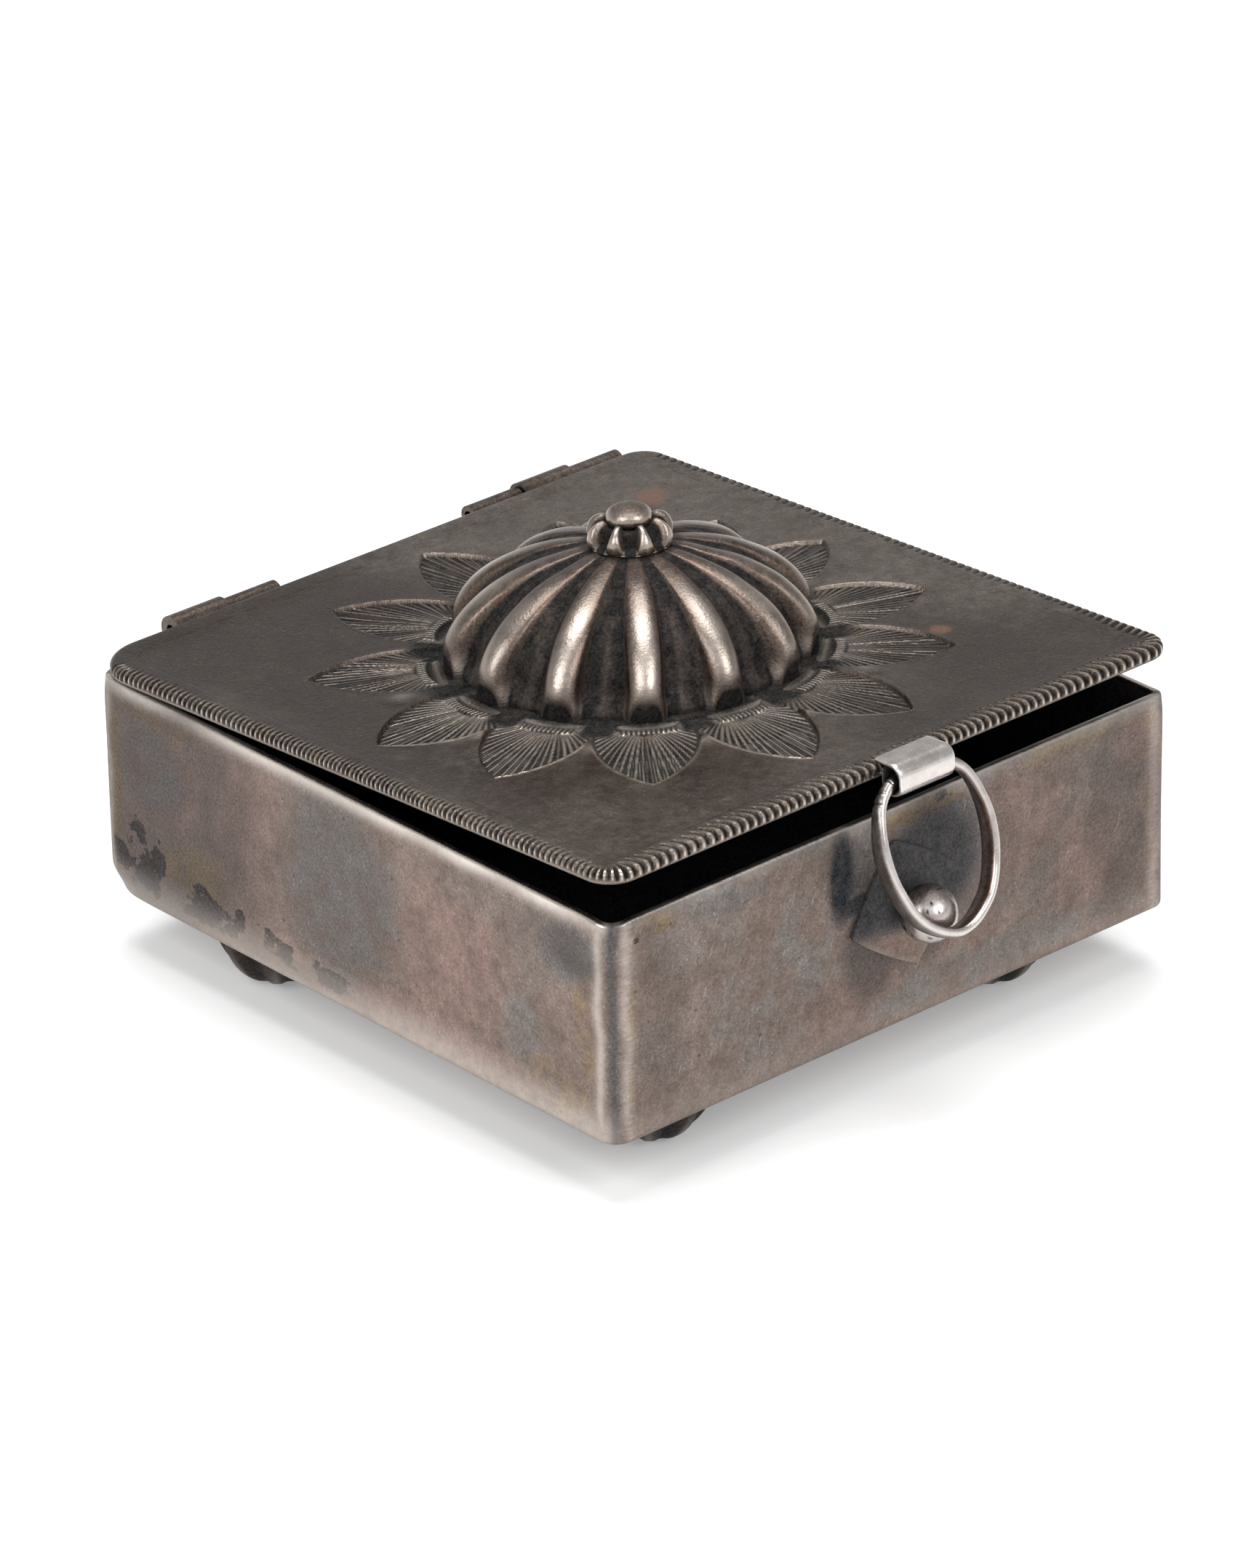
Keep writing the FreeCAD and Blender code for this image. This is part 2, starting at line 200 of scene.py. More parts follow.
@dataclass
class Skin:
    """Closed surface on a grid of rows and columns, with its stains.

    Columns run round and join up. Rows join up too, or end in a flat cap at each end.
    """

    points: Array
    stains: Stains = field(default_factory=dict)
    rows_join: bool = False

    def faces(self) -> tuple[Array, Array]:
        """Work out the corner numbers of the four-sided and three-sided faces.

        Returns:
            Array of quads and array of triangles.
        """
        rows, columns = self.points.shape[:2]
        number = np.arange(rows * columns).reshape(rows, columns)
        beside = np.roll(number, -1, axis=1)
        if self.rows_join:
            above, above_beside = np.roll(number, -1, axis=0), np.roll(beside, -1, axis=0)
            quads = np.stack([number, beside, above_beside, above], axis=-1)
            return quads.reshape(-1, 4), np.zeros((0, 3), int)
        quads = np.stack([number[:-1], beside[:-1], beside[1:], number[1:]], axis=-1)
        first = np.full(columns, rows * columns)
        low_fan = np.stack([beside[0], number[0], first], axis=-1)
        high_fan = np.stack([number[-1], beside[-1], first + 1], axis=-1)
        return quads.reshape(-1, 4), np.concatenate([low_fan, high_fan])

    def vertices(self, values: Array) -> Array:
        """List values by vertex, with the two cap centres as the means of the end rows."""
        flat = values.reshape(-1, *values.shape[2:])
        if self.rows_join:
            return flat
        return np.concatenate([flat, values[0].mean(0)[None], values[-1].mean(0)[None]])

    def mesh(self, name: str) -> bpy.types.Mesh:
        """Make the mesh in metres, with its faces turned outwards.

        Args:
            name: name of the mesh.

        Returns:
            The finished mesh.
        """
        places = self.vertices(self.points)
        quads, triangles = self.faces()
        halves = np.concatenate([quads[:, [0, 1, 2]], quads[:, [0, 2, 3]], triangles])
        corners = places[halves]
        volume = np.einsum("ij,ij->i", corners[:, 0], np.cross(corners[:, 1], corners[:, 2])).sum()
        if volume < 0:
            quads, triangles = quads[:, ::-1], triangles[:, ::-1]
        mesh = bpy.data.meshes.new(name)
        mesh.vertices.add(len(places))
        mesh.vertices.foreach_set("co", (places * MM).ravel())
        mesh.loops.add(quads.size + triangles.size)
        mesh.loops.foreach_set("vertex_index", np.concatenate([quads.ravel(), triangles.ravel()]))
        quad_starts = np.arange(len(quads)) * 4
        starts = np.concatenate([quad_starts, quads.size + np.arange(len(triangles)) * 3])
        mesh.polygons.add(len(starts))
        mesh.polygons.foreach_set("loop_start", starts)
        mesh.update(calc_edges=True)
        mesh.validate()
        for stain, values in self.stains.items():
            layer = mesh.attributes.new(stain.value, "FLOAT", "POINT")
            spread = np.broadcast_to(values, self.points.shape[:2])
            layer.data.foreach_set("value", self.vertices(spread).astype(np.float32))
        mesh.shade_smooth()
        mesh.set_sharp_from_angle(angle=math.radians(CRISP_ANGLE))
        return mesh


def place_piece(
    name: str, skin: Skin, material: bpy.types.Material, body: Body, slot: str, *nodes: str
) -> None:
    """Put a skin into the scene as a piece that stands for solids of the frame.

    Args:
        name: name of the piece.
        skin: its surface.
        material: its finish.
        body: the body that it rides on.
        slot: the record's material slot; not used.
        nodes: the solids that it stands for.
    """
    piece = bpy.data.objects.new(name, skin.mesh(name))
    bpy.context.scene.collection.objects.link(piece)
    piece.data.materials.append(material)
    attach(piece, body.value)
    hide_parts(*nodes)
    log.info("%s: %d faces, rides on %s", name, len(piece.data.polygons), body.value)


def add_node(
    tree: Tree,
    kind: str,
    inputs: dict | None = None,
    stops: Sequence[tuple[float, str]] = (),
    **settings: object,
) -> Node:
    """Add a shader node with its settings, values and links.

    Args:
        tree: node tree to add to.
        kind: type name without the leading ShaderNode.
        inputs: value, source socket, or source node by input name or number. A node gives its
            first output that is in use.
        stops: places and hex colours of a colour ramp.
        settings: properties of the node.

    Returns:
        The new node.
    """
    node = tree.nodes.new("ShaderNode" + kind)
    for name, value in settings.items():
        setattr(node, name, value)
    for name, value in (inputs or {}).items():
        if isinstance(value, Node):
            value = next(socket for socket in value.outputs if socket.enabled)
        if isinstance(value, Socket):
            tree.links.new(value, node.inputs[name])
        else:
            node.inputs[name].default_value = value
    for number, (place, colour) in enumerate(stops):
        elements = node.color_ramp.elements
        element = elements[number] if number < 2 else elements.new(place)
        element.position = place
        element.color = linear(colour)
    return node


@dataclass(frozen=True)
class Spot:
    """Copper-coloured spot where the plating of pure silver is worn through."""

    centre: tuple[float, float, float]
    radii: tuple[float, float, float]
    strength: float


@dataclass(frozen=True)
class AgedSilver:
    """Hand-worked sterling silver that has darkened with age.

    Sulphide tarnish gives the eye a brown-grey satin that drifts from warm to cool, hollows stay sooty
    black and rough, and rubbed edges shine as bare metal with fine scratches. The same dark and bright
    masks also lay painted shade and painted highlights where the pieces ask for them. The scratches and
    pits of the real one are finer than the render shows, so they are drawn a little coarser.
    """

    name: str
    body: str = "#8f7f77"
    warm: str = "#9a8077"
    cool: str = "#7f7874"
    gold: str = "#8e7c63"
    blot: str = "#463c37"
    soot_and_shade: str = "#0e0e0e"
    soot_and_shade_grain: str = "#403f3e"
    bright: str = "#d6cdc4"
    copper: str = "#a8775c"
    body_roughness: float = 0.38
    bright_roughness: float = 0.25
    soot_roughness: float = 0.60
    sooty_metal: float = 0.12
    crust_gloss: float = 0.04
    blotch_size: float = 13.0
    patch_size: float = 3.6
    mottle_size: float = 1.2
    grain_size: float = 0.28
    pit_spacing: float = 1.7
    scratch_length: float = 9.0
    scratch_width: float = 0.22
    scratch_turns: tuple[tuple[float, float, float], ...] = (
        (0.1, 0.2, 0.5),
        (0.5, -0.3, -0.7),
        (0.2, 1.2, 0.1),
    )
    file_mark_size: tuple[float, float, float] = (1.6, 1.6, 0.22)
    blotch_share: float = 0.6
    patch_shade: str = "#e4e1df"
    mottle_shade: str = "#dbd8d6"
    grain_shade: str = "#cfccca"
    scratch_share: float = 0.22
    pit_share: float = 0.5
    bump_height: float = 0.014
    soot_bump_height: float = 0.07
    spots: tuple[Spot, ...] = ()

    def patch_mask(self, tree: Tree, stain: Stain, noise: Node, ragged: float, soft: float) -> Node:
        """Turn a stain value into patches with crisp ragged edges.

        The value plus noise passes one half where a patch starts, and a value of 0 stays clean.

        Args:
            tree: node tree to add to.
            stain: which value to read.
            noise: noise from 0 to 1 that breaks up the edge.
            ragged: how far the noise moves the edge.
            soft: half of the range over which the mask climbs.

        Returns:
            Node that gives the mask from 0 to 1.
        """
        value = add_node(tree, "Attribute", attribute_name=stain.value).outputs["Fac"]
        centred = add_node(tree, "Math", {0: noise, 1: 0.5}, operation="SUBTRACT")
        room = add_node(tree, "MapRange", {0: value, 2: 0.2, 4: ragged})
        inputs = {0: centred, 1: room, 2: value}
        total = add_node(tree, "Math", inputs, operation="MULTIPLY_ADD")
        inputs = {0: total, 1: 0.5 - soft, 2: 0.5 + soft}
        return add_node(tree, "MapRange", inputs, interpolation_type="SMOOTHSTEP")

    def film_mask(self, tree: Tree, stain: Stain, noise: Node, uneven: float) -> Node:
        """Turn a stain value into a film: the value times 1 plus or minus the unevenness.

        Args:
            tree: node tree to add to.
            stain: which value to read.
            noise: noise from 0 to 1.
            uneven: how uneven it is.

        Returns:
            Node that gives the mask from 0 to 1.
        """
        value = add_node(tree, "Attribute", attribute_name=stain.value).outputs["Fac"]
        factor = add_node(tree, "MapRange", {0: noise, 3: 1.0 - uneven, 4: 1.0 + uneven})
        return add_node(tree, "Math", {0: value, 1: factor}, operation="MULTIPLY", use_clamp=True)

    def noises(self, tree: Tree, place: Socket) -> list[Node]:
        """Add the blotch, patch, mottle and grain noises, each spread over 0 to 1.

        Args:
            tree: node tree to add to.
            place: coordinates on the piece.

        Returns:
            One node per noise, coarsest first.
        """
        spread = []
        sizes = ((self.blotch_size, 4), (self.patch_size, 7), (self.mottle_size, 5), (self.grain_size, 3))
        for size, detail in sizes:
            inputs = {"Vector": place, "Scale": 1.0 / (size * MM), "Detail": detail, "Roughness": 0.62}
            raw = add_node(tree, "TexNoise", inputs)
            spread.append(add_node(tree, "MapRange", {0: raw, 1: 0.3, 2: 0.7}))
        return spread

    def scratches(self, tree: Tree, place: Socket, patch: Node) -> Node:
        """Add hairline scratches: the crests of noise that is stretched along three directions.

        Args:
            tree: node tree to add to.
            place: coordinates on the piece.
            patch: noise that thins them out.

        Returns:
            Node that gives the scratches' strength.
        """
        crest = None
        sizes = (self.scratch_length, self.scratch_width, self.scratch_width)
        scale = [1.0 / (size * MM) for size in sizes]
        for seed, turn in enumerate(self.scratch_turns, 1):
            inputs = {"Vector": place, "Rotation": turn}
            turned = add_node(tree, "Mapping", inputs)
            inputs = {"Vector": turned, "Scale": scale, "Location": (seed * 7.0, 0.0, 0.0)}
            stretched = add_node(tree, "Mapping", inputs)
            raw = add_node(tree, "TexNoise", {"Vector": stretched, "Scale": 1.0, "Detail": 1.0})
            line = add_node(tree, "MapRange", {0: raw, 1: 0.66, 2: 0.74})
            if crest is not None:
                line = add_node(tree, "Math", {0: crest, 1: line}, operation="MAXIMUM")
            crest = line
        thinned = add_node(tree, "Math", {0: crest, 1: patch}, operation="MULTIPLY")
        return add_node(tree, "Math", {0: thinned, 1: self.scratch_share}, operation="MULTIPLY")

    def tarnish(self, tree: Tree, noises: Sequence[Node]) -> Node:
        """Colour the film: a slow drift between three tints, then patches, then finer shades.

        Args:
            tree: node tree to add to.
            noises: the blotch, patch, mottle and grain noises.

        Returns:
            Node that gives the colour.
        """
        blotch, patch, mottle, grain = noises
        stops = ((0.15, self.cool), (0.85, self.warm), (0.5, self.body))
        drift = add_node(tree, "ValToRGB", {0: blotch}, stops=stops)
        inputs = {0: self.blotch_share, UNDER: linear(self.body), OVER: drift}
        colour = add_node(tree, "Mix", inputs, data_type="RGBA")
        patches = (
            (WARM, self.warm, 0.8, 0.42),
            (COOL, self.cool, 0.8, 0.42),
            (GOLD, self.gold, 1.1, 0.32),
            (BLOT, self.blot, 1.6, 0.10),
        )
        for stain, tint, ragged, soft in patches:
            mask = self.patch_mask(tree, stain, patch, ragged, soft)
            inputs = {0: mask, UNDER: colour, OVER: linear(tint)}
            colour = add_node(tree, "Mix", inputs, data_type="RGBA")
        shades = ((patch, self.patch_shade), (mottle, self.mottle_shade), (grain, self.grain_shade))
        for noise, low in shades:
            shade = add_node(tree, "ValToRGB", {0: noise}, stops=((0.1, low), (0.8, "#ffffff")))
            inputs = {0: 1.0, UNDER: colour, OVER: shade}
            colour = add_node(tree, "Mix", inputs, data_type="RGBA", blend_type="MULTIPLY")
        return colour

    def spot_mask(self, tree: Tree, place: Socket, patch: Node, spot: Spot) -> Node:
        """Mask a copper-coloured spot, whose edge the noise makes ragged.

        Args:
            tree: node tree to add to.
            place: coordinates on the piece.
            patch: noise.
            spot: the spot.

        Returns:
            Node that gives the mask.
        """
        inputs = {
            "Vector": place,
            "Location": [value * MM for value in spot.centre],
            "Scale": [value * MM for value in spot.radii],
        }
        near = add_node(tree, "Mapping", inputs, vector_type="TEXTURE")
        reach = add_node(tree, "VectorMath", {0: near}, operation="LENGTH").outputs["Value"]
        ragged = add_node(tree, "Math", {0: reach, 1: patch}, operation="ADD")
        return add_node(tree, "MapRange", {0: ragged, 1: 0.8, 2: 1.5, 3: spot.strength, 4: 0.0})

    def pit_mask(self, tree: Tree, place: Socket, patch: Node) -> Node:
        """Mask dark pits: small dots in the middle of cells, in some patches only.

        Args:
            tree: node tree to add to.
            place: coordinates on the piece.
            patch: noise that keeps them to some places.

        Returns:
            Node that gives the mask.
        """
        inputs = {"Vector": place, "Scale": 1.0 / (self.pit_spacing * MM)}
        cells = add_node(tree, "TexVoronoi", inputs).outputs["Distance"]
        dots = add_node(tree, "MapRange", {0: cells, 1: 0.06, 2: 0.13, 3: self.pit_share, 4: 0.0})
        sparse = add_node(tree, "MapRange", {0: patch, 1: 0.5, 2: 0.7})
        return add_node(tree, "Math", {0: dots, 1: sparse}, operation="MULTIPLY")

    def file_mask(self, tree: Tree, place: Socket) -> Node:
        """Mask level file marks: the crests of flattened noise, where the mesh says filed.

        Args:
            tree: node tree to add to.
            place: coordinates on the piece.

        Returns:
            Node that gives the mask.
        """
        filed = add_node(tree, "Attribute", attribute_name=FILED.value).outputs["Fac"]
        inputs = {"Vector": place, "Scale": [1.0 / (size * MM) for size in self.file_mark_size]}
        level = add_node(tree, "Mapping", inputs)
        raw = add_node(tree, "TexNoise", {"Vector": level, "Scale": 1.0, "Detail": 1.0})
        marks = add_node(tree, "MapRange", {0: raw, 1: 0.52, 2: 0.62})
        return add_node(tree, "Math", {0: marks, 1: filed}, operation="MULTIPLY")

    @cache
    def material(self) -> bpy.types.Material:
        """Build the node material, once for each finish.

        Returns:
            The finished material.
        """
        material = bpy.data.materials.new(self.name)
        material.use_nodes = True
        tree = material.node_tree
        shader = tree.nodes["Principled BSDF"]
        place = add_node(tree, "TexCoord").outputs["Object"]
        noises = self.noises(tree, place)
        _, patch, mottle, grain = noises
        # The wear mask also lays painted highlights, and the soot mask painted shade.
        wear_and_highlight = self.film_mask(tree, WEAR_AND_HIGHLIGHT, mottle, 0.12)
        soot_and_shade = self.film_mask(tree, SOOT_AND_SHADE, mottle, 0.25)

        layers = [(self.spot_mask(tree, place, patch, spot), self.copper) for spot in self.spots]
        layers += [
            (self.pit_mask(tree, place, patch), self.blot),
            (self.scratches(tree, place, patch), self.bright),
            (self.file_mask(tree, place), self.bright),
            (wear_and_highlight, self.bright),
        ]
        colour = self.tarnish(tree, noises)
        for mask, tint in layers:
            inputs = {0: mask, UNDER: colour, OVER: linear(tint)}
            colour = add_node(tree, "Mix", inputs, data_type="RGBA")
        inputs = {0: grain, UNDER: linear(self.soot_and_shade), OVER: linear(self.soot_and_shade_grain)}
        soot_and_shade_colour = add_node(tree, "Mix", inputs, data_type="RGBA")
        colour = add_node(tree, "Mix", {0: soot_and_shade, UNDER: colour, OVER: soot_and_shade_colour}, data_type="RGBA")
        tree.links.new(colour.outputs[2], shader.inputs["Base Color"])

        worn = add_node(tree, "MapRange", {0: wear_and_highlight, 3: self.body_roughness, 4: self.bright_roughness})
        sooted = add_node(tree, "MapRange", {0: soot_and_shade, 3: worn, 4: self.soot_roughness})
        uneven = add_node(tree, "MapRange", {0: mottle, 3: -0.05, 4: 0.06})
        roughness = add_node(tree, "Math", {0: sooted, 1: uneven}, operation="ADD", use_clamp=True)
        tree.links.new(roughness.outputs[0], shader.inputs["Roughness"])
        metal = add_node(tree, "MapRange", {0: soot_and_shade, 3: 1.0, 4: self.sooty_metal})
        tree.links.new(metal.outputs[0], shader.inputs["Metallic"])
        shader.inputs["Specular IOR Level"].default_value = self.crust_gloss

        inputs = {0: soot_and_shade, 3: self.bump_height * MM, 4: self.soot_bump_height * MM}
        depth = add_node(tree, "MapRange", inputs)
        relief = add_node(tree, "Math", {0: mottle, 1: 0.5, 2: grain}, operation="MULTIPLY_ADD")
        bump = add_node(tree, "Bump", {"Height": relief, "Distance": depth, "Strength": 1.0})
        tree.links.new(bump.outputs[0], shader.inputs["Normal"])
        return material


# Finishes of the box's parts
WALL_SILVER = AgedSilver(
    "tarnished_silver_walls",
    body="#8e7f77",
    warm="#98827a",
    cool="#7e7976",
    gold="#8f7d66",
    soot_and_shade="#0f1114",
    soot_and_shade_grain="#3b4045",
    scratch_length=6.0,
    scratch_width=0.17,
    blotch_share=0.4,
    grain_shade="#dad8d6",
    scratch_share=0.32,
    pit_share=0.75,
)
LID_SILVER = AgedSilver(
    "tarnished_silver_lid",
    body="#6f655e",
    warm="#544a43",
    cool="#80776f",
    soot_and_shade_grain="#323130",
    gold="#85745a",
    bright="#b9afa5",
    spots=(
        Spot((27.0, 29.3, 30.3), (2.4, 2.6, 3.0), 0.5),
        Spot((22.7, -16.0, 32.6), (1.2, 1.1, 3.0), 0.5),
    ),
)
DOME_SILVER = AgedSilver(
    "burnished_silver_dome",
    body="#766b64",
    warm="#75645a",
    cool="#6c6561",
    soot_and_shade_grain="#302e2d",
    bright="#beb3a9",
    body_roughness=0.34,
    bright_roughness=0.28,
    scratch_share=0.25,
    soot_bump_height=0.045,
)
WIRE_SILVER = AgedSilver(
    "rubbed_silver_wire",
    body="#978880",
    warm="#937b6e",
    cool="#85817f",
    bright="#dcd5d1",
    body_roughness=0.32,
    scratch_share=0.12,
    bump_height=0.005,
)
FOOT_SILVER = AgedSilver(
    "blackened_silver_feet", body="#4e4844", warm="#574b43", cool="#403f40", gold="#5c4f3f"
)


@dataclass(frozen=True)
class Columns:
    """Points spread round a rounded outline: corner number, outward angle, share of the side."""

    corners: Array
    angles: Array
    shares: Array


@dataclass(frozen=True)
class RoundedOutline:
    """Rectangle with a radius at each corner, as a line that can be drawn in or sampled.

    Corners are numbered from the front left, anticlockwise as seen from above.
    """

    low: tuple[float, float]
    high: tuple[float, float]
    radii: tuple[float, float, float, float]

    @property
    def middle(self) -> Array:
        """Centre of the rectangle."""
        return (np.array(self.low) + np.array(self.high)) / 2

    @property
    def half(self) -> Array:
        """Half sizes of the rectangle."""
        return (np.array(self.high) - np.array(self.low)) / 2

    def columns(self, step: float, arc_steps: int) -> Columns:
        """Spread points round the outline, with even steps on the sides.

        Args:
            step: distance between points on the straight sides.
            arc_steps: steps in each corner.

        Returns:
            The points' places on the outline.
        """
        corners, angles, shares = [], [], []
        for corner in range(4):
            turn = np.radians(180.0 + 90.0 * corner + np.linspace(0.0, 90.0, arc_steps + 1))
            count = max(2, round(2 * self.half[corner % 2] / step))
            corners.append(np.full(arc_steps + count, corner))
            angles.append(np.concatenate([turn, np.full(count - 1, turn[-1])]))
            shares.append(np.concatenate([np.zeros(arc_steps + 1), np.arange(1, count) / count]))
        return Columns(np.concatenate(corners), np.concatenate(angles), np.concatenate(shares))

    def ring(self, columns: Columns, inset: float, inner: float) -> Array:
        """Place the points on the outline drawn in by a distance.

        A corner point is the corner's centre plus its radius along the outward angle, and a
        side point lies between the ends of the corners on each side of it.

        Args:
            columns: places on the outline.
            inset: how far the outline is drawn in.
            inner: least corner radius.

        Returns:
            Array of x, y pairs.
        """
        signs = np.array([(-1, -1), (1, -1), (1, 1), (-1, 1)])
        outward = np.stack([np.cos(columns.angles), np.sin(columns.angles)], axis=-1)
        ends = []
        for corners in (columns.corners, (columns.corners + 1) % 4):
            radius = np.maximum(np.array(self.radii)[corners] - inset, inner)[:, None]
            centre = self.middle + signs[corners] * (self.half - inset - radius)
            ends.append(centre + outward * radius)
        return ends[0] + (ends[1] - ends[0]) * columns.shares[:, None]

    def depth_inside(self, x: Array, y: Array) -> Array:
        """Distance inward from the outline: least distance to a side, less near the corners."""
        (middle_x, middle_y), (half_x, half_y) = self.middle, self.half
        corner = np.where(y < middle_y, np.where(x < middle_x, 0, 1), np.where(x < middle_x, 3, 2))
        radius = np.array(self.radii)[corner]
        over_x = np.abs(x - middle_x) - (half_x - radius)
        over_y = np.abs(y - middle_y) - (half_y - radius)
        outside = np.hypot(np.maximum(over_x, 0.0), np.maximum(over_y, 0.0))
        return radius - outside - np.minimum(np.maximum(over_x, over_y), 0.0)

    def reach(self, centre: Array, angles: Array, inset: float) -> Array:
        """Distance from a centre to the outline drawn in, one per angle, by halving the range.

        Args:
            centre: x and y.
            angles: directions in radians.
            inset: how far it is drawn in.

        Returns:
            One distance per direction.
        """
        low, high = np.zeros_like(angles), np.full_like(angles, FAR)
        for _ in range(HALVINGS):
            middle = (low + high) / 2
            x = centre[0] + middle * np.cos(angles)
            y = centre[1] + middle * np.sin(angles)
            inside = self.depth_inside(x, y) > inset
            low, high = np.where(inside, middle, low), np.where(inside, high, middle)
        return low


@dataclass(frozen=True)
class WallMark:
    """Mark on an upright wall, a stain or a painted shadow and reflection: its centre, half sizes across
    and up, and strength.
    """

    stain: Stain
    across: float
    up: float
    half_width: float
    half_height: float
    strength: float

    def mask(self, across: Array, up: Array) -> Array:
        """Soft oval: the strength inside, falling to 0 past its half sizes."""
        over_width = (across - self.across) / self.half_width
        over_height = (up - self.up) / self.half_height
        return self.strength * (1.0 - rise(np.hypot(over_width, over_height), 0.55, 1.25))


# Blemishes of the left wall: across runs from the back edge to the near corner, 0 in the middle
LEFT_WALL = (
    WallMark(COOL, -1.0, 12.5, 9.0, 11.0, 0.70),
    WallMark(COOL, -29.0, 15.0, 6.0, 6.5, 0.50),
    WallMark(SOOT_AND_SHADE, -27.0, 12.0, 17.0, 15.0, 0.42),
    WallMark(WARM, -20.0, 13.0, 10.0, 9.0, 0.55),
    WallMark(SOOT_AND_SHADE, -2.0, 12.0, 12.0, 12.0, 0.16),
    WallMark(COOL, 31.0, 18.0, 4.5, 3.2, 0.90),
    WallMark(SOOT_AND_SHADE, 31.0, 18.3, 4.0, 2.6, 0.30),
    WallMark(COOL, 25.0, 8.0, 3.5, 4.0, 0.50),
    WallMark(WARM, 14.0, 11.0, 9.5, 9.0, 0.75),
    WallMark(WARM, 8.0, 2.5, 28.0, 2.8, 0.85),
    WallMark(WARM, -13.0, 16.5, 5.5, 5.0, 0.60),
    WallMark(GOLD, -23.0, 6.2, 6.5, 3.0, 0.80),
    WallMark(SOOT_AND_SHADE, -28.0, 15.0, 8.5, 7.0, 0.46),
    WallMark(WARM, -27.0, 14.0, 9.0, 7.0, 0.70),
    WallMark(GOLD, -34.4, 12.0, 1.5, 10.5, 0.90),
    WallMark(GOLD, 30.0, 4.0, 6.0, 3.0, 0.50),
    WallMark(GOLD, -28.0, 20.6, 8.0, 1.1, 0.60),
    WallMark(GOLD, 33.0, 11.0, 1.6, 8.0, 0.50),
    WallMark(BLOT, -30.8, 5.4, 4.0, 4.8, 0.66),
    WallMark(BLOT, -23.4, 3.6, 3.4, 2.6, 0.60),
    WallMark(BLOT, -16.0, 3.0, 7.0, 2.0, 0.46),
    WallMark(BLOT, -6.0, 2.6, 8.0, 1.4, 0.38),
    WallMark(SOOT_AND_SHADE, -12.0, 1.8, 16.0, 1.2, 0.22),
    WallMark(SOOT_AND_SHADE, -31.0, 18.0, 3.2, 3.4, 0.30),
)

# Marks of the front wall, stains and near the ring painted shade and reflections: across is x
FRONT_WALL = (
    WallMark(SOOT_AND_SHADE, -29.0, 12.0, 3.6, 11.0, 0.16),
    WallMark(COOL, -15.0, 10.0, 9.0, 10.0, 0.45),
    WallMark(WARM, 15.0, 15.0, 8.0, 6.0, 0.60),
    WallMark(WARM, -9.0, 4.0, 14.0, 3.6, 0.50),
    # Round the ring and the ball: a dark blue-grey patch, with the ring's dark reflection painted to its
    # left and painted shade under the ball.
    WallMark(COOL, 5.0, 15.5, 6.8, 7.0, 1.00),
    WallMark(SOOT_AND_SHADE, 4.4, 15.4, 6.8, 7.2, 0.68),
    WallMark(COOL, -3.8, 17.0, 3.4, 5.5, 1.00),
    WallMark(SOOT_AND_SHADE, -6.9, 17.6, 1.7, 5.2, 0.92),
    WallMark(SOOT_AND_SHADE, -4.6, 14.3, 3.6, 1.2, 0.86),
    WallMark(SOOT_AND_SHADE, -3.0, 9.5, 4.4, 6.0, 0.45),
    WallMark(SOOT_AND_SHADE, 2.2, 10.6, 6.4, 6.0, 0.50),
    WallMark(SOOT_AND_SHADE, 11.0, 14.0, 7.0, 8.0, 0.30),
    WallMark(GOLD, 3.2, 21.3, 5.5, 1.2, 0.90),
    WallMark(BLOT, 5.4, 21.9, 1.1, 0.9, 0.80),
    WallMark(GOLD, 22.0, 21.4, 10.0, 1.2, 0.55),
    WallMark(GOLD, -30.0, 21.2, 3.0, 1.4, 0.60),
    WallMark(WARM, 33.2, 13.0, 1.8, 10.0, 0.90),
    WallMark(WARM, 31.0, 19.0, 3.0, 2.6, 0.95),
    WallMark(SOOT_AND_SHADE, 29.0, 12.0, 6.0, 12.0, 0.36),
    WallMark(SOOT_AND_SHADE, 22.0, 14.0, 11.0, 11.0, 0.22),
    WallMark(SOOT_AND_SHADE, 6.0, 11.0, 36.0, 16.0, 0.06),
    WallMark(WARM, 24.0, 8.0, 5.0, 8.0, 0.65),
    WallMark(COOL, 12.0, 3.0, 20.0, 2.4, 0.60),
    WallMark(COOL, -20.0, 20.5, 6.0, 1.6, 0.70),
    WallMark(BLOT, -31.4, 20.3, 1.0, 0.6, 0.80),
)


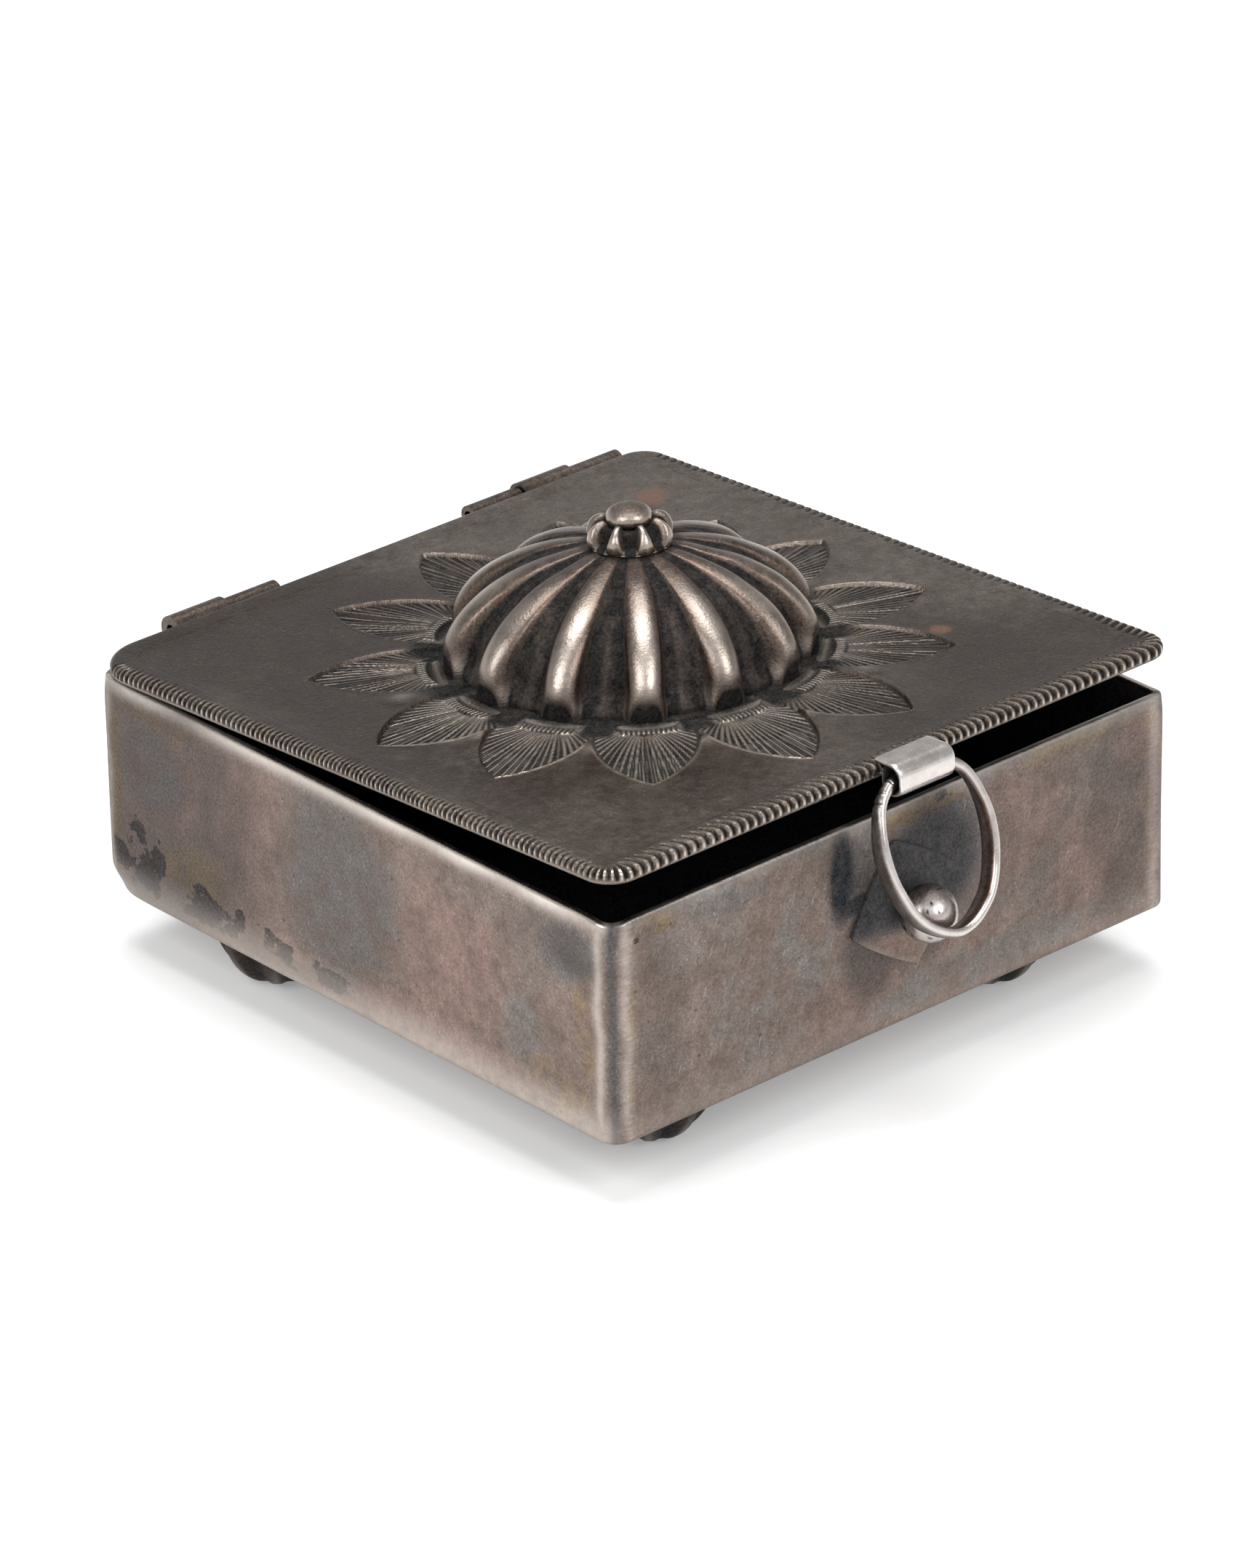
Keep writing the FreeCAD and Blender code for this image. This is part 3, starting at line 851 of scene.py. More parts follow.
@dataclass
class BoxBody:
    """Walls, base plate and feet, which stay still."""

    wall: float = 0.9
    left_radius: float = 2.35
    right_radius: float = 1.2
    inner_radius: float = 0.3
    base_round: float = 0.7
    base_round_rows: int = 8
    row_step: float = 0.3
    inner_rows: int = 12
    column_step: float = 0.5
    arc_steps: int = 20
    rim_height: float = 0.4
    rim_band: float = 2.3
    rim_lean: float = 0.16
    corner_dip: float = 0.35
    nick_depth: float = 0.05
    dent_depth: float = 1.12
    dent_spread: float = 2.5
    dent_height: float = 3.6
    dent_lift: float = 0.35
    foot_lobes: int = 8
    columns_per_lobe: int = 20
    foot_rows: int = 30
    foot_depth_share: float = 0.13
    foot_sole: float = 1.3
    foot_power: float = 1.6

    # Rim of the sheet: inset, drop below the top, and 1 on the outer face to 0 on the inner face
    rim: tuple[tuple[float, float, float], ...] = (
        (0.00, 0.33, 1.0),
        (0.03, 0.20, 1.0),
        (0.10, 0.09, 1.0),
        (0.20, 0.03, 1.0),
        (0.32, 0.00, 1.0),
        (0.62, 0.00, 1.0),
        (0.78, 0.04, 0.7),
        (0.87, 0.14, 0.4),
        (0.90, 0.30, 0.0),
    )

    def __post_init__(self) -> None:
        """Read the places of the solids that the skins stand for."""
        self.low, self.high = solid_box("wall_band")
        self.base_z = solid_box("base_plate")[0][2]
        radii = (self.left_radius, self.right_radius, self.right_radius, self.left_radius)
        self.outline = RoundedOutline(tuple(self.low[:2]), tuple(self.high[:2]), radii)
        self.columns = self.outline.columns(self.column_step, self.arc_steps)

    def ring_at(self, inset: float, z: float) -> Array:
        """Points of the outline drawn in by a distance, at one height."""
        flat = self.outline.ring(self.columns, inset, self.inner_radius)
        return grid(flat[:, 0], flat[:, 1], z)

    def outward(self) -> Array:
        """Unit vectors that point out of the box, one per column."""
        return grid(np.cos(self.columns.angles), np.sin(self.columns.angles), 0.0)

    def pull_in_back_corner(self, points: Array) -> Array:
        """Knock in the bottom of the back left corner: a bell curve of the distance from it."""
        reach = np.hypot(points[..., 0] - self.low[0], points[..., 1] - self.high[1])
        dent = self.dent_depth * hump(reach, 0.0, self.dent_spread)
        up = points[..., 2] - self.base_z
        dent = dent * (1.0 - rise(up, 0.0, self.dent_height)) ** 2
        return points + grid(dent, -dent, self.dent_lift * dent)

    def on_face(self, distance: Array) -> Array:
        """Share of a wall's own stains, from the distance to its plane: 0 round the corner."""
        return 1.0 - rise(distance, 0.2, 1.4)

    def hidden_walls_stains(self, points: Array, stains: Stains, outside: Array) -> None:
        """Add soft random clouds to the stains of the right and back walls.

        Args:
            points: grid of points.
            stains: values to add to.
            outside: 1 on the outer face and 0 on the inner face, by row.
        """
        for axis in (0, 1):
            there = self.on_face(self.high[axis] - points[..., axis]) * outside
            for stain, seed in ((WARM, 11), (COOL, 23), (GOLD, 37)):
                cloud = rise(swell(points, 22.0, axis + seed), 0.1, 0.9) * 0.7
                lay(stains, stain, cloud * there)
            dark = rise(swell(points, 12.0, axis + 51), 0.45, 0.95) * 0.4
            lay(stains, SOOT_AND_SHADE, dark * there)

    def wall_stains_and_shading(self, points: Array, outside: Array) -> Stains:
        """Work out the stains of the walls with their painted highlights and painted shade; outside is 1 on
        the outer face and 0 on the inner.

        Args:
            points: grid of points.
            outside: 1 on the outer face and 0 on the inner face, by row.

        Returns:
            Value of each stain by point.
        """
        x, y, z = points[..., 0], points[..., 1], points[..., 2]
        up, down = z - self.base_z, self.high[2] - z
        middle_y = self.outline.middle[1]
        stains = {stain: np.zeros(points.shape[:2]) for stain in Stain}
        on_left = self.on_face(x - self.low[0])
        on_front = self.on_face(y - self.low[1])
        walls = ((LEFT_WALL, middle_y - y, on_left), (FRONT_WALL, x, on_front))
        for wall_marks, across, here in walls:
            for wall_mark in wall_marks:
                lay(stains, wall_mark.stain, wall_mark.mask(across, up) * here * outside)
        self.hidden_walls_stains(points, stains, outside)
        # Rim, edge and foot line: rubbed metal plus painted highlights, much stronger on the left wall,
        # whose leaning rim and lower edge catch the light.
        rim = 1.0 - rise(down, 0.2, self.rim_band)
        edge = 1.0 - rise(down, 0.08, 0.32)
        towards_right = on_front * rise(x, -24.0, 6.0)
        foot_line = 1.0 - rise(up, 0.6, 5.0)
        patchy = 0.75 + 0.25 * swell(points, 9.0, 5)
        wear_and_highlight = (0.12 + 0.84 * on_left + 0.12 * towards_right) * rim**2 * patchy
        wear_and_highlight = wear_and_highlight + 0.7 * edge * (1.0 - 0.3 * towards_right)
        wear_and_highlight = wear_and_highlight + 0.44 * foot_line * (0.2 + 0.8 * on_left)
        wear_and_highlight = np.maximum(wear_and_highlight, self.corner_stripes(points, stains, outside))
        stains[WEAR_AND_HIGHLIGHT] = np.clip(wear_and_highlight, 0.0, 1.0) * outside
        lay(stains, COOL, 0.7 * rim * on_front * outside)
        # Painted shade down the inner face below the rim.
        lay(stains, SOOT_AND_SHADE, 0.9 * (1.0 - outside) * rise(down, 0.15, 1.2))
        return stains

    def corner_stripes(self, points: Array, stains: Stains, outside: Array) -> Array:
        """Paint the upright corners: two painted highlight stripes with a painted dark reflection between
        them, plus a gold stripe and file marks.

        The place round the corner is the distance along x less the distance along y from the
        corner's middle, so it is negative on the left wall and positive on the front.

        Args:
            points: grid of points.
            stains: values to add to.
            outside: 1 on the outer face and 0 on the inner face, by row.

        Returns:
            Painted highlight share by point.
        """
        middle, half = self.outline.middle, self.outline.half
        from_x = half[0] - np.abs(points[..., 0] - middle[0])
        from_y = half[1] - np.abs(points[..., 1] - middle[1])
        round_corner = from_x - from_y
        here = (1.0 - rise(np.maximum(from_x, from_y), 2.6, 4.2)) * outside
        top = rise(points[..., 2], self.high[2] - 2.6, self.high[2] - 0.6)
        # Painted dark reflection down the corner's middle, and painted highlights either side of it.
        dull = hump(round_corner, 0.1, 0.75) * here
        lay(stains, COOL, dull)
        lay(stains, SOOT_AND_SHADE, dull * (0.34 + 0.4 * top))
        lay(stains, GOLD, 0.45 * hump(round_corner, 2.5, 0.8) * here)
        lay(stains, FILED, 0.14 * hump(round_corner, 2.0, 0.7) * here)
        rough = 0.25 * swell(points, 6.0, 27)
        left = hump(round_corner + rough, -1.7, 0.6)
        right = hump(round_corner + rough, 1.8, 0.7)
        return (0.42 * left + 0.26 * right) * here

    def walls(self) -> Skin:
        """Sheet that stands on the base plate: up the outside, over the rim, down the inside.

        The faces swell by a few hundredths and lean in slightly under the rim, which dips at
        the near corner and has small nicks.
        """
        bottom, top = self.low[2], self.high[2]
        outer_rows = np.arange(bottom, top - self.rim_height, self.row_step)
        inner_rows = np.linspace(top - self.wall, bottom, self.inner_rows)
        section = [(0.0, z, 1.0) for z in outer_rows]
        section += [(inset, top - drop, side) for inset, drop, side in self.rim]
        section += [(self.wall, z, 0.0) for z in inner_rows]
        points = np.stack([self.ring_at(inset, z) for inset, z, _ in section])
        outside = np.array([side for _, _, side in section])[:, None]
        x, y, z = points[..., 0], points[..., 1], points[..., 2]
        lean = self.rim_lean * rise(z, top - 3.2, top) ** 2
        belly = np.sin(np.pi * (z - bottom) / (top - bottom))
        wave = 0.05 * swell(points, 26.0, 3) * belly
        dip = self.corner_dip * hump(np.hypot(x - self.low[0], y - self.low[1]), 0.0, 2.2)
        dip += self.nick_depth * rise(swell(points, 9.0, 8), 0.5, 1.0)
        shift = (wave - lean) * outside
        points = points + self.outward()[None] * shift[..., None]
        points[..., 2] -= dip * rise(z, top - 1.5, top)
        points = self.pull_in_back_corner(points)
        return Skin(points, self.wall_stains_and_shading(points, outside), rows_join=True)

    def base(self) -> Skin:
        """Bottom sheet, flat with a rounded lower edge."""
        turn = np.radians(np.linspace(0.0, 90.0, self.base_round_rows))
        radius, plate_top = self.base_round, self.low[2]
        section = [(20.0, plate_top, 0.0), (2.0, plate_top, 0.0), (0.0, plate_top, 1.0)]
        for a in turn:
            section.append((radius * (1 - math.cos(a)), self.base_z + radius * (1 - math.sin(a)), 1.0))
        section += [(6.0, self.base_z, 0.7), (20.0, self.base_z, 0.7)]
        points = np.stack([self.ring_at(inset, z) for inset, z, _ in section])
        outside = np.array([side for _, _, side in section])[:, None]
        stains = self.wall_stains_and_shading(points, outside)
        # Painted shade under the base.
        lay(stains, SOOT_AND_SHADE, 0.35 * rise(self.base_z + 0.5 - points[..., 2], 0.0, 0.5))
        return Skin(self.pull_in_back_corner(points), stains)

    def foot(self, node: str) -> Skin:
        """Stamped foot: an upside-down fluted dome with a small flat sole.

        The radius is the sole's plus the rest times the root of 1 - (1 - share)^power, drawn
        in between the lobes by a share of itself.
        """
        low, high = solid_box(node)
        centre, radius = (low + high) / 2, (high[0] - low[0]) / 2
        share = (np.linspace(0.0, 1.0, self.foot_rows) ** 1.5)[:, None]
        angle = full_turn(self.foot_lobes * self.columns_per_lobe)
        from_ridge = from_whole(angle * self.foot_lobes / (2 * np.pi))
        valley = rise(from_ridge, 0.10, 0.44)
        spread = np.sqrt(1.0 - (1.0 - share) ** self.foot_power)
        reach = self.foot_sole + (radius - self.foot_sole) * spread
        reach = reach * (1.0 - self.foot_depth_share * valley)
        x, y = centre[0] + reach * np.cos(angle), centre[1] + reach * np.sin(angle)
        stains = {
            SOOT_AND_SHADE: 0.25 + 0.6 * valley,
            WEAR_AND_HIGHLIGHT: 0.35 * (1.0 - rise(from_ridge, 0.0, 0.2)) * rise(1.0 - share, 0.2, 0.9),
        }
        return Skin(grid(x, y, share * (high[2] - low[2])), stains)

    def build(self) -> None:
        """Place the walls, the base plate and the four feet."""
        walls, dark = WALL_SILVER.material(), FOOT_SILVER.material()
        slot = "aged_silver_walls"
        place_piece("walls_skin", self.walls(), walls, Body.BOX, slot, "wall_band")
        place_piece("base_skin", self.base(), walls, Body.BOX, slot, "base_plate")
        for side in ("front_left", "front_right", "back_left", "back_right"):
            node = "foot_" + side
            place_piece(node + "_skin", self.foot(node), dark, Body.BOX, "dark_silver", node)


@dataclass
class Stud:
    """Ball stud on its diamond plate, on the front wall."""

    ball_radius: float = 2.72
    seat_share: float = 0.9
    ball_rows: int = 44
    ball_columns: int = 72
    half_diagonal: float = 6.9
    top_half_diagonal: float = 3.4
    rise_out: float = 0.9
    edge: float = 0.3
    edge_soft: float = 0.08
    top_soft: float = 0.06
    ledge: float = 0.5
    top_inset: float = 0.2
    hole_half: float = 1.0
    facet_rows: int = 9
    plate_columns: int = 128
    turn: float = -12.0
    corner_power: float = 1.12

    def __post_init__(self) -> None:
        """Read the stud's place from its solids."""
        low, high = solid_box("stud_plate")
        self.centre = np.array([(low[0] + high[0]) / 2, high[1], (low[2] + high[2]) / 2])

    def plate(self) -> Skin:
        """Diamond whose four facets slope up to a smaller diamond.

        In the plate's own turned axes the outline is |a|^p + |b|^p = 1, with p just over 1 for
        soft corners, scaled by the half diagonal of each level.
        """
        angle = full_turn(self.plate_columns)
        power = self.corner_power
        unit = (np.abs(np.cos(angle)) ** power + np.abs(np.sin(angle)) ** power) ** (-1 / power)
        narrow, wide = self.top_half_diagonal, self.half_diagonal
        slope = np.linspace(0.0, 1.0, self.facet_rows)
        facet_out = self.edge + (self.rise_out - self.top_soft - self.edge) * slope
        facet_half = wide + (narrow + self.ledge - wide) * slope
        levels = [(0.0, wide), (self.edge - self.edge_soft, wide), *zip(facet_out, facet_half)]
        levels += [(self.rise_out, narrow - self.top_inset), (self.rise_out, self.hole_half)]
        out, half = (np.array(values)[:, None] for values in zip(*levels))
        spin = angle + math.radians(self.turn)
        x = self.centre[0] + half * unit * np.sin(spin)
        z = self.centre[2] + half * unit * np.cos(spin)
        points = grid(x, self.centre[1] - out, z)
        points[..., 1] -= 0.05 * swell(points, 3.0, 12) * rise(out, 0.1, 0.4)
        # Painted shade over the upper part, dark and cool under the ring.
        upper = rise(z - self.centre[2], -3.2, -0.6)
        stains = {
            COOL: 0.95 * upper,
            SOOT_AND_SHADE: 0.18 + 0.52 * upper,
            WARM: 0.7 * (1.0 - upper),
            GOLD: 0.2 * (1.0 - upper),
            WEAR_AND_HIGHLIGHT: 0.14 * hump(half, wide, 0.5) * (1.0 - upper),
        }
        return Skin(points, stains)

    def ball(self) -> Skin:
        """Ball cut flat at its seat, with a slightly lumpy surface."""
        reach_out = self.rise_out + self.ball_radius * self.seat_share
        centre = self.centre - np.array([0.0, reach_out, 0.0])
        polar = np.linspace(POLE_GAP, math.acos(-self.seat_share), self.ball_rows)[:, None]
        angle = full_turn(self.ball_columns)
        unit = grid(np.sin(polar) * np.sin(angle), -np.cos(polar), np.sin(polar) * np.cos(angle))
        radius = self.ball_radius + 0.04 * swell(unit * self.ball_radius, 2.5, 21)
        points = centre + unit * radius[..., None]
        # Painted light: the top greys and the front brightens as reflections of the ceiling and floor, and
        # the back against the plate gets painted shade; the pits are real.
        back = rise(polar, 1.2, 2.3)
        over = rise(unit[..., 2], 0.45, 0.95)
        pits = rise(swell(points, 0.8, 33), 0.86, 1.02) * 0.8
        stains = {
            WEAR_AND_HIGHLIGHT: np.clip(0.72 - back - 0.5 * over, 0, 1),
            SOOT_AND_SHADE: np.clip(0.8 * back + pits + 0.35 * over, 0, 0.95),
            GOLD: 0.6 * back,
        }
        return Skin(points, stains)

    def build(self) -> None:
        """Place the plate and the ball."""
        walls, bright = WALL_SILVER.material(), WIRE_SILVER.material()
        place_piece("stud_plate_skin", self.plate(), walls, Body.BOX, "aged_silver_walls", "stud_plate")
        place_piece("stud_ball_skin", self.ball(), bright, Body.BOX, "bright_silver", "stud_ball")


@dataclass(frozen=True)
class Leaf:
    """One stamped leaf: how far its tip lies from the dome's centre, and its turn in degrees."""

    tip: float
    turn: float


@dataclass(frozen=True)
class DomePlaces:
    """Where points of the dome lie.

    Angle, way from crown to foot, height, distance from the ridge in pitches and in half widths,
    share of valley floor, and the scoop and its depth.
    """

    angles: Array
    share: Array
    height: Array
    from_ridge: Array
    over: Array
    ground: Array
    scoop: Array
    hollow: Array


@dataclass
class Lid:
    """Lid sheet with its dome, leaves and filed edge, made shut and then turned ajar.

    Ribs are numbered anticlockwise from the left one, and each has its leaf. Turns are from an
    even spread, in degrees.
    """

    thickness: float = 1.2
    side_overhang: float = 0.41
    corner_radii: tuple[float, float, float, float] = (3.0, 3.0, 3.0, 5.5)
    edge_to_axis: float = 1.3
    depth: float = 74.45
    axis_above_low: float = 0.05
    centre_from_axis: float = 38.15
    centre_x: float = 0.7
    rib_start: float = -157.5
    rib_turns: tuple[float, ...] = (2.7, 3.1, 2.3, 3.0, -3.0, -5.0, 0, 0, -1, -2, -2, 2, 3)
    dome_radius: float = 18.15
    dome_height: float = 10.5
    dome_wall: float = 0.8
    dome_rows: tuple[int, int] = (52, 44)
    dome_columns_per_rib: int = 56
    skirt_inset: float = 0.1
    skirt_gap: float = 0.02
    rib_depth_share: float = 0.14
    valley_fillet: float = 1.0
    fillet_height: float = 2.6
    dome_power: float = 0.9
    dome_top_radius: float = 2.9
    crown_shift: tuple[float, float] = (0.9, 0.2)
    dense_share: float = 0.79
    scoop_height: float = 3.2
    scoop_depth: float = 0.35
    scoop_width: float = 0.80
    hollow_start: float = 18.2
    hollow_reach: float = 1.15
    hollow_half_width: float = 2.9
    hollow_depth: float = 0.40
    nick_pitch: float = 0.46
    nick_height: float = 0.09
    leaf_depth: float = 0.42
    leaf_wall: float = 0.17
    leaf_base: float = 18.3
    leaf_half_width: float = 5.5
    fan_centre: float = 17.6
    fan_pitch: float = 5.0
    fan_height: float = 0.13
    fan_line_spread: float = 0.145
    fold_height: float = 0.22
    leaf_start: float = 20.9
    leaf_zone: float = 33.2
    sheet_columns_per_rib: int = 92
    sheet_rows: tuple[int, int, int] = (42, 77, 10)
    border: float = 2.8
    edge_step: float = 0.09
    edge_arc_steps: int = 50
    notch_pitch: float = 1.04
    left_pitch: float = 0.70
    notch_depth: float = 0.34
    notch_slant: float = 0.12
    filed_from: float = 2.55
    filed_width: float = 1.75
    edge_round: tuple[float, float] = (0.72, 0.62)

    # Border strip before the filed part: inset, and drop below the top
    strip_start: tuple[tuple[float, float], ...] = ((3.0, 0.08), (2.9, 0.04), (2.76, 0.0))

    # Side of the edge: inset, drop below the top, and reach of the notches
    edge_side: tuple[tuple[float, float, float], ...] = ((0.0, 0.75, 0.7), (0.02, 0.9, 0.3))

    # Lower corner and underside of the strip: inset, and height above the sheet's underside
    edge_below: tuple[tuple[float, float], ...] = ((0.06, 0.15), (0.16, 0.03), (0.30, 0.0), (3.0, 0.0))

    # Leaves anticlockwise from the left one, each beside the rib of its number
    leaves: tuple[Leaf, ...] = (
        Leaf(31.2, 2.7),
        Leaf(32.1, 1.8),
        Leaf(32.3, 1.0),
        Leaf(31.6, -2.2),
        Leaf(30.6, -1.6),
        Leaf(29.9, -2.1),
        Leaf(30.0, 1.4),
        Leaf(31.2, -3.8),
        Leaf(32.4, -3.1),
        Leaf(32.3, -5.0),
        Leaf(30.9, -4.6),
        Leaf(30.4, -0.7),
        Leaf(30.7, 4.6),
    )

    def __post_init__(self) -> None:
        """Read the hinge line from the frame and work out the shut lid's heights."""
        hinge = joint_of("lid_hinge")
        self.axis = millimetres(hinge["pos_m"])
        self.ajar = math.radians(-hinge["range_deg"][0])
        self.low_z = self.axis[2] - self.axis_above_low
        self.top_z = self.low_z + self.thickness
        back = self.axis[1] - self.edge_to_axis
        half = solid_box("wall_band")[1][0] + self.side_overhang
        self.outline = RoundedOutline((-half, back - self.depth), (half, back), self.corner_radii)
        self.centre = np.array([self.centre_x, self.axis[1] - self.centre_from_axis])
        self.rib_count = len(self.leaves)

    def opened(self, points: Array) -> Array:
        """Turn points of the shut lid about the hinge line to the rest position."""
        reach, up = points[..., 1] - self.axis[1], points[..., 2] - self.axis[2]
        cosine, sine = math.cos(self.ajar), math.sin(self.ajar)
        turned = points.copy()
        turned[..., 1] = self.axis[1] + reach * cosine + up * sine
        turned[..., 2] = self.axis[2] - reach * sine + up * cosine
        return turned

    def spread(self, turns: Sequence[float]) -> Array:
        """Angles of a ring of ribs or leaves in radians, with the first again at the end."""
        even = self.rib_start + np.arange(self.rib_count) * 360.0 / self.rib_count
        angles = np.radians(even + np.array(turns))
        return np.append(angles, angles[0] + 2 * np.pi)

    def angle_of(self, place: Array) -> Array:
        """Angle of a place that is counted in ribs, by straight lines from rib to rib."""
        ribs = self.spread(self.rib_turns)
        return np.interp(place, np.arange(self.rib_count + 1), ribs)

    def place_among(self, turns: Sequence[float], angles: Array) -> Array:
        """Place of each angle, counted in ribs or leaves with the given turns."""
        ring = self.spread(turns)
        wrapped = (angles - ring[0]) % (2 * np.pi) + ring[0]
        return np.interp(wrapped, ring, np.arange(self.rib_count + 1))

    def rib_half_width(self, share: Array) -> Array:
        """Half width of a rib as a share of the pitch: it slims downwards and has a flared foot."""
        return 0.30 - 0.06 * rise(share, 0.4, 0.88) + 0.02 * rise(share, 0.9, 1.0)

    def foot_radius(self, angles: Array) -> Array:
        """Radius at which the dome meets the lid."""
        from_ridge = from_whole(self.place_among(self.rib_turns, angles))
        depth, valley = self.rib_section(from_ridge, np.ones_like(angles))
        return self.dome_radius * (1.0 - self.rib_depth_share * depth) + self.valley_fillet * valley

    def rib_section(self, place: Array, share: Array) -> tuple[Array, Array]:
        """Section across a rib: a half ellipse, whose foot runs smoothly into a level valley.

        Args:
            place: distance from the ridge in pitches, up to one half.
            share: share of the way from crown to foot.

        Returns:
            Depth from 0 on the ridge to 1 in the valley, and how much of a valley it is.
        """
        half = self.rib_half_width(share)
        over = np.clip(place / half, 0.0, 1.0)
        valley = rise(place, half * 0.78, half + 0.07)
        ellipse = 1.0 - np.sqrt(1.0 - 0.92 * over**2)
        return ellipse * (1.0 - valley) + valley, valley

    def dome(self) -> Skin:
        """Fluted dome as a shell.

        Along a ridge the radius is R sin(q) and the height is H cos(q)^0.9, with q from the
        crown to the foot. Across the pitch the radius shrinks by the rib section's share of
        itself, and the valley's foot runs out in a fillet. The ridge's end is scooped out under
        a curve of the fourth power. The crown lies a little off the foot's centre, under the finial.
        """
        first = math.asin(self.dome_top_radius / self.dome_radius)
        bend = self.dense_share * np.pi / 2
        upper_rows, lower_rows = self.dome_rows
        upper = np.linspace(first, bend, upper_rows, endpoint=False)
        q = np.concatenate([upper, np.linspace(bend, np.pi / 2, lower_rows)])[:, None]
        columns = self.rib_count * self.dome_columns_per_rib
        ribs = np.linspace(0, self.rib_count, columns, endpoint=False)[None]
        angles, from_ridge = self.angle_of(ribs), from_whole(ribs)
        share = q / (np.pi / 2)
        height = self.dome_height * np.cos(q) ** self.dome_power
        over = from_ridge / self.rib_half_width(share)
        depth, valley = self.rib_section(from_ridge, share)
        radius = self.dome_radius * np.sin(q) * (1.0 - self.rib_depth_share * depth)
        fillet = (1.0 - rise(height, 0.0, self.fillet_height)) ** 2
        radius = radius + self.valley_fillet * valley * fillet
        scoop_line = self.scoop_height * (1.0 - (over / self.scoop_width) ** 4)
        scoop = rise(scoop_line - height, 0.0, 2.4) * (1.0 - rise(over, 0.7, 0.95))
        hollow = scoop * (1.0 - 0.5 * np.clip(height / self.scoop_height, 0, 1))
        radius = radius - self.scoop_depth * hollow
        lift = height / self.dome_height
        x = self.centre[0] + radius * np.cos(angles) + self.crown_shift[0] * lift
        y = self.centre[1] + radius * np.sin(angles) + self.crown_shift[1] * lift
        outer = grid(x, y, self.top_z + height)
        ground = rise(valley, 0.05, 0.6)
        outer[..., 2] += 0.05 * swell(outer, 5.0, 41) + 0.035 * ground * swell(outer, 0.9, 43)
        level_out = grid(np.cos(angles), np.sin(angles), 0.0)
        lowest = self.low_z + self.skirt_gap
        skirt = outer[-1:] - self.skirt_inset * level_out
        skirt[..., 2] = lowest
        under = outer[::-4] - self.dome_wall * level_out
        under[..., 2] = np.maximum(under[..., 2] - self.dome_wall, lowest)
        places = DomePlaces(angles, share, height, from_ridge, over, ground, scoop, hollow)
        # Painted shade on the skirt and the underside.
        hidden = np.zeros((len(skirt) + len(under), columns))
        stains = {
            stain: np.concatenate([values, hidden + (0.75 if stain is SOOT_AND_SHADE else 0.0)])
            for stain, values in self.dome_stains_and_shading(outer, places).items()
        }
        return Skin(self.opened(np.concatenate([outer, skirt, under])), stains)

    def dome_stains_and_shading(self, outer: Array, at: DomePlaces) -> Stains:
        """Brighten the ridges, with rubbed metal plus painted highlights, and darken the valleys and scoops
        with soot, the rib flanks with painted shade and the crown with painted shade under the finial.

        Args:
            outer: grid of points of the dome's outer face.
            at: where they lie on the ribs.

        Returns:
            Value of each stain by point.
        """
        finial_x, finial_y = self.centre + np.array(self.crown_shift)
        from_finial = np.hypot(outer[..., 0] - finial_x, outer[..., 1] - finial_y)
        near_top = 1.0 - rise(from_finial, 4.5, 5.3)
        # Ridges: rubbed metal plus a painted highlight that grows towards their lower part.
        lit = 0.04 + 0.72 * rise(at.share, 0.25, 0.62) * (0.85 + 0.3 * swell(outer, 6.0, 47))
        bright_ridges = lit * (1.0 - rise(at.over, 0.05, 0.88)) * (1.0 - 0.85 * near_top) * (1.0 - at.scoop)
        at_foot = 1.0 - rise(at.height, 0.4, 3.0)
        legs = 0.6 * at_foot * hump(at.over, 0.84, 0.14) * rise(at.share, 0.7, 0.8)
        streaks = 0.5 * swell(grid(18.0 * at.angles, 0.3 * at.height, 0.0), 1.3, 49)
        streaks = streaks + 0.3 * swell(outer, 0.9, 43)
        middle = rise(at.from_ridge, 0.34, 0.50) * rise(at.share, 0.35, 0.9)
        floor = np.clip(0.93 - 0.26 * middle - 0.22 * streaks * rise(at.share, 0.2, 0.6), 0.4, 1.0)
        soot_and_shade = np.maximum(floor * at.ground, rise(at.hollow, 0.20, 0.75))
        # Painted shade round the crown, under the finial's cap.
        soot_and_shade = np.maximum(soot_and_shade, 0.7 * near_top)
        # Painted shade down the rib flanks.
        flanks = 0.92 * rise(at.over, 0.84, 1.08) * (1.0 - 0.9 * at_foot) * (1.0 - at.ground)
        return {
            SOOT_AND_SHADE: np.maximum(soot_and_shade, flanks),
            WEAR_AND_HIGHLIGHT: np.maximum(bright_ridges, legs),
            WARM: 0.50 * hump(at.over, 0.7, 0.35),
        }

    def fan_lines(self, fan: Array, reach: Array, start: float, strengths: Array) -> Array:
        """Thin ridges at even angles: a bell curve of the distance from the nearest ridge.

        Args:
            fan: angle of each point about the fan's centre.
            reach: distance of each point from the fan's centre.
            start: shift of the ridges in pitches.
            strengths: height of each ridge.

        Returns:
            Ridge height from 0 to 1 by point.
        """
        pitch = math.radians(self.fan_pitch)
        count = fan / pitch + start
        nearest = np.round(count)
        distance = np.abs(count - nearest) * pitch * reach
        return hump(distance, 0.0, self.fan_line_spread) * strengths[nearest.astype(int) % len(strengths)]

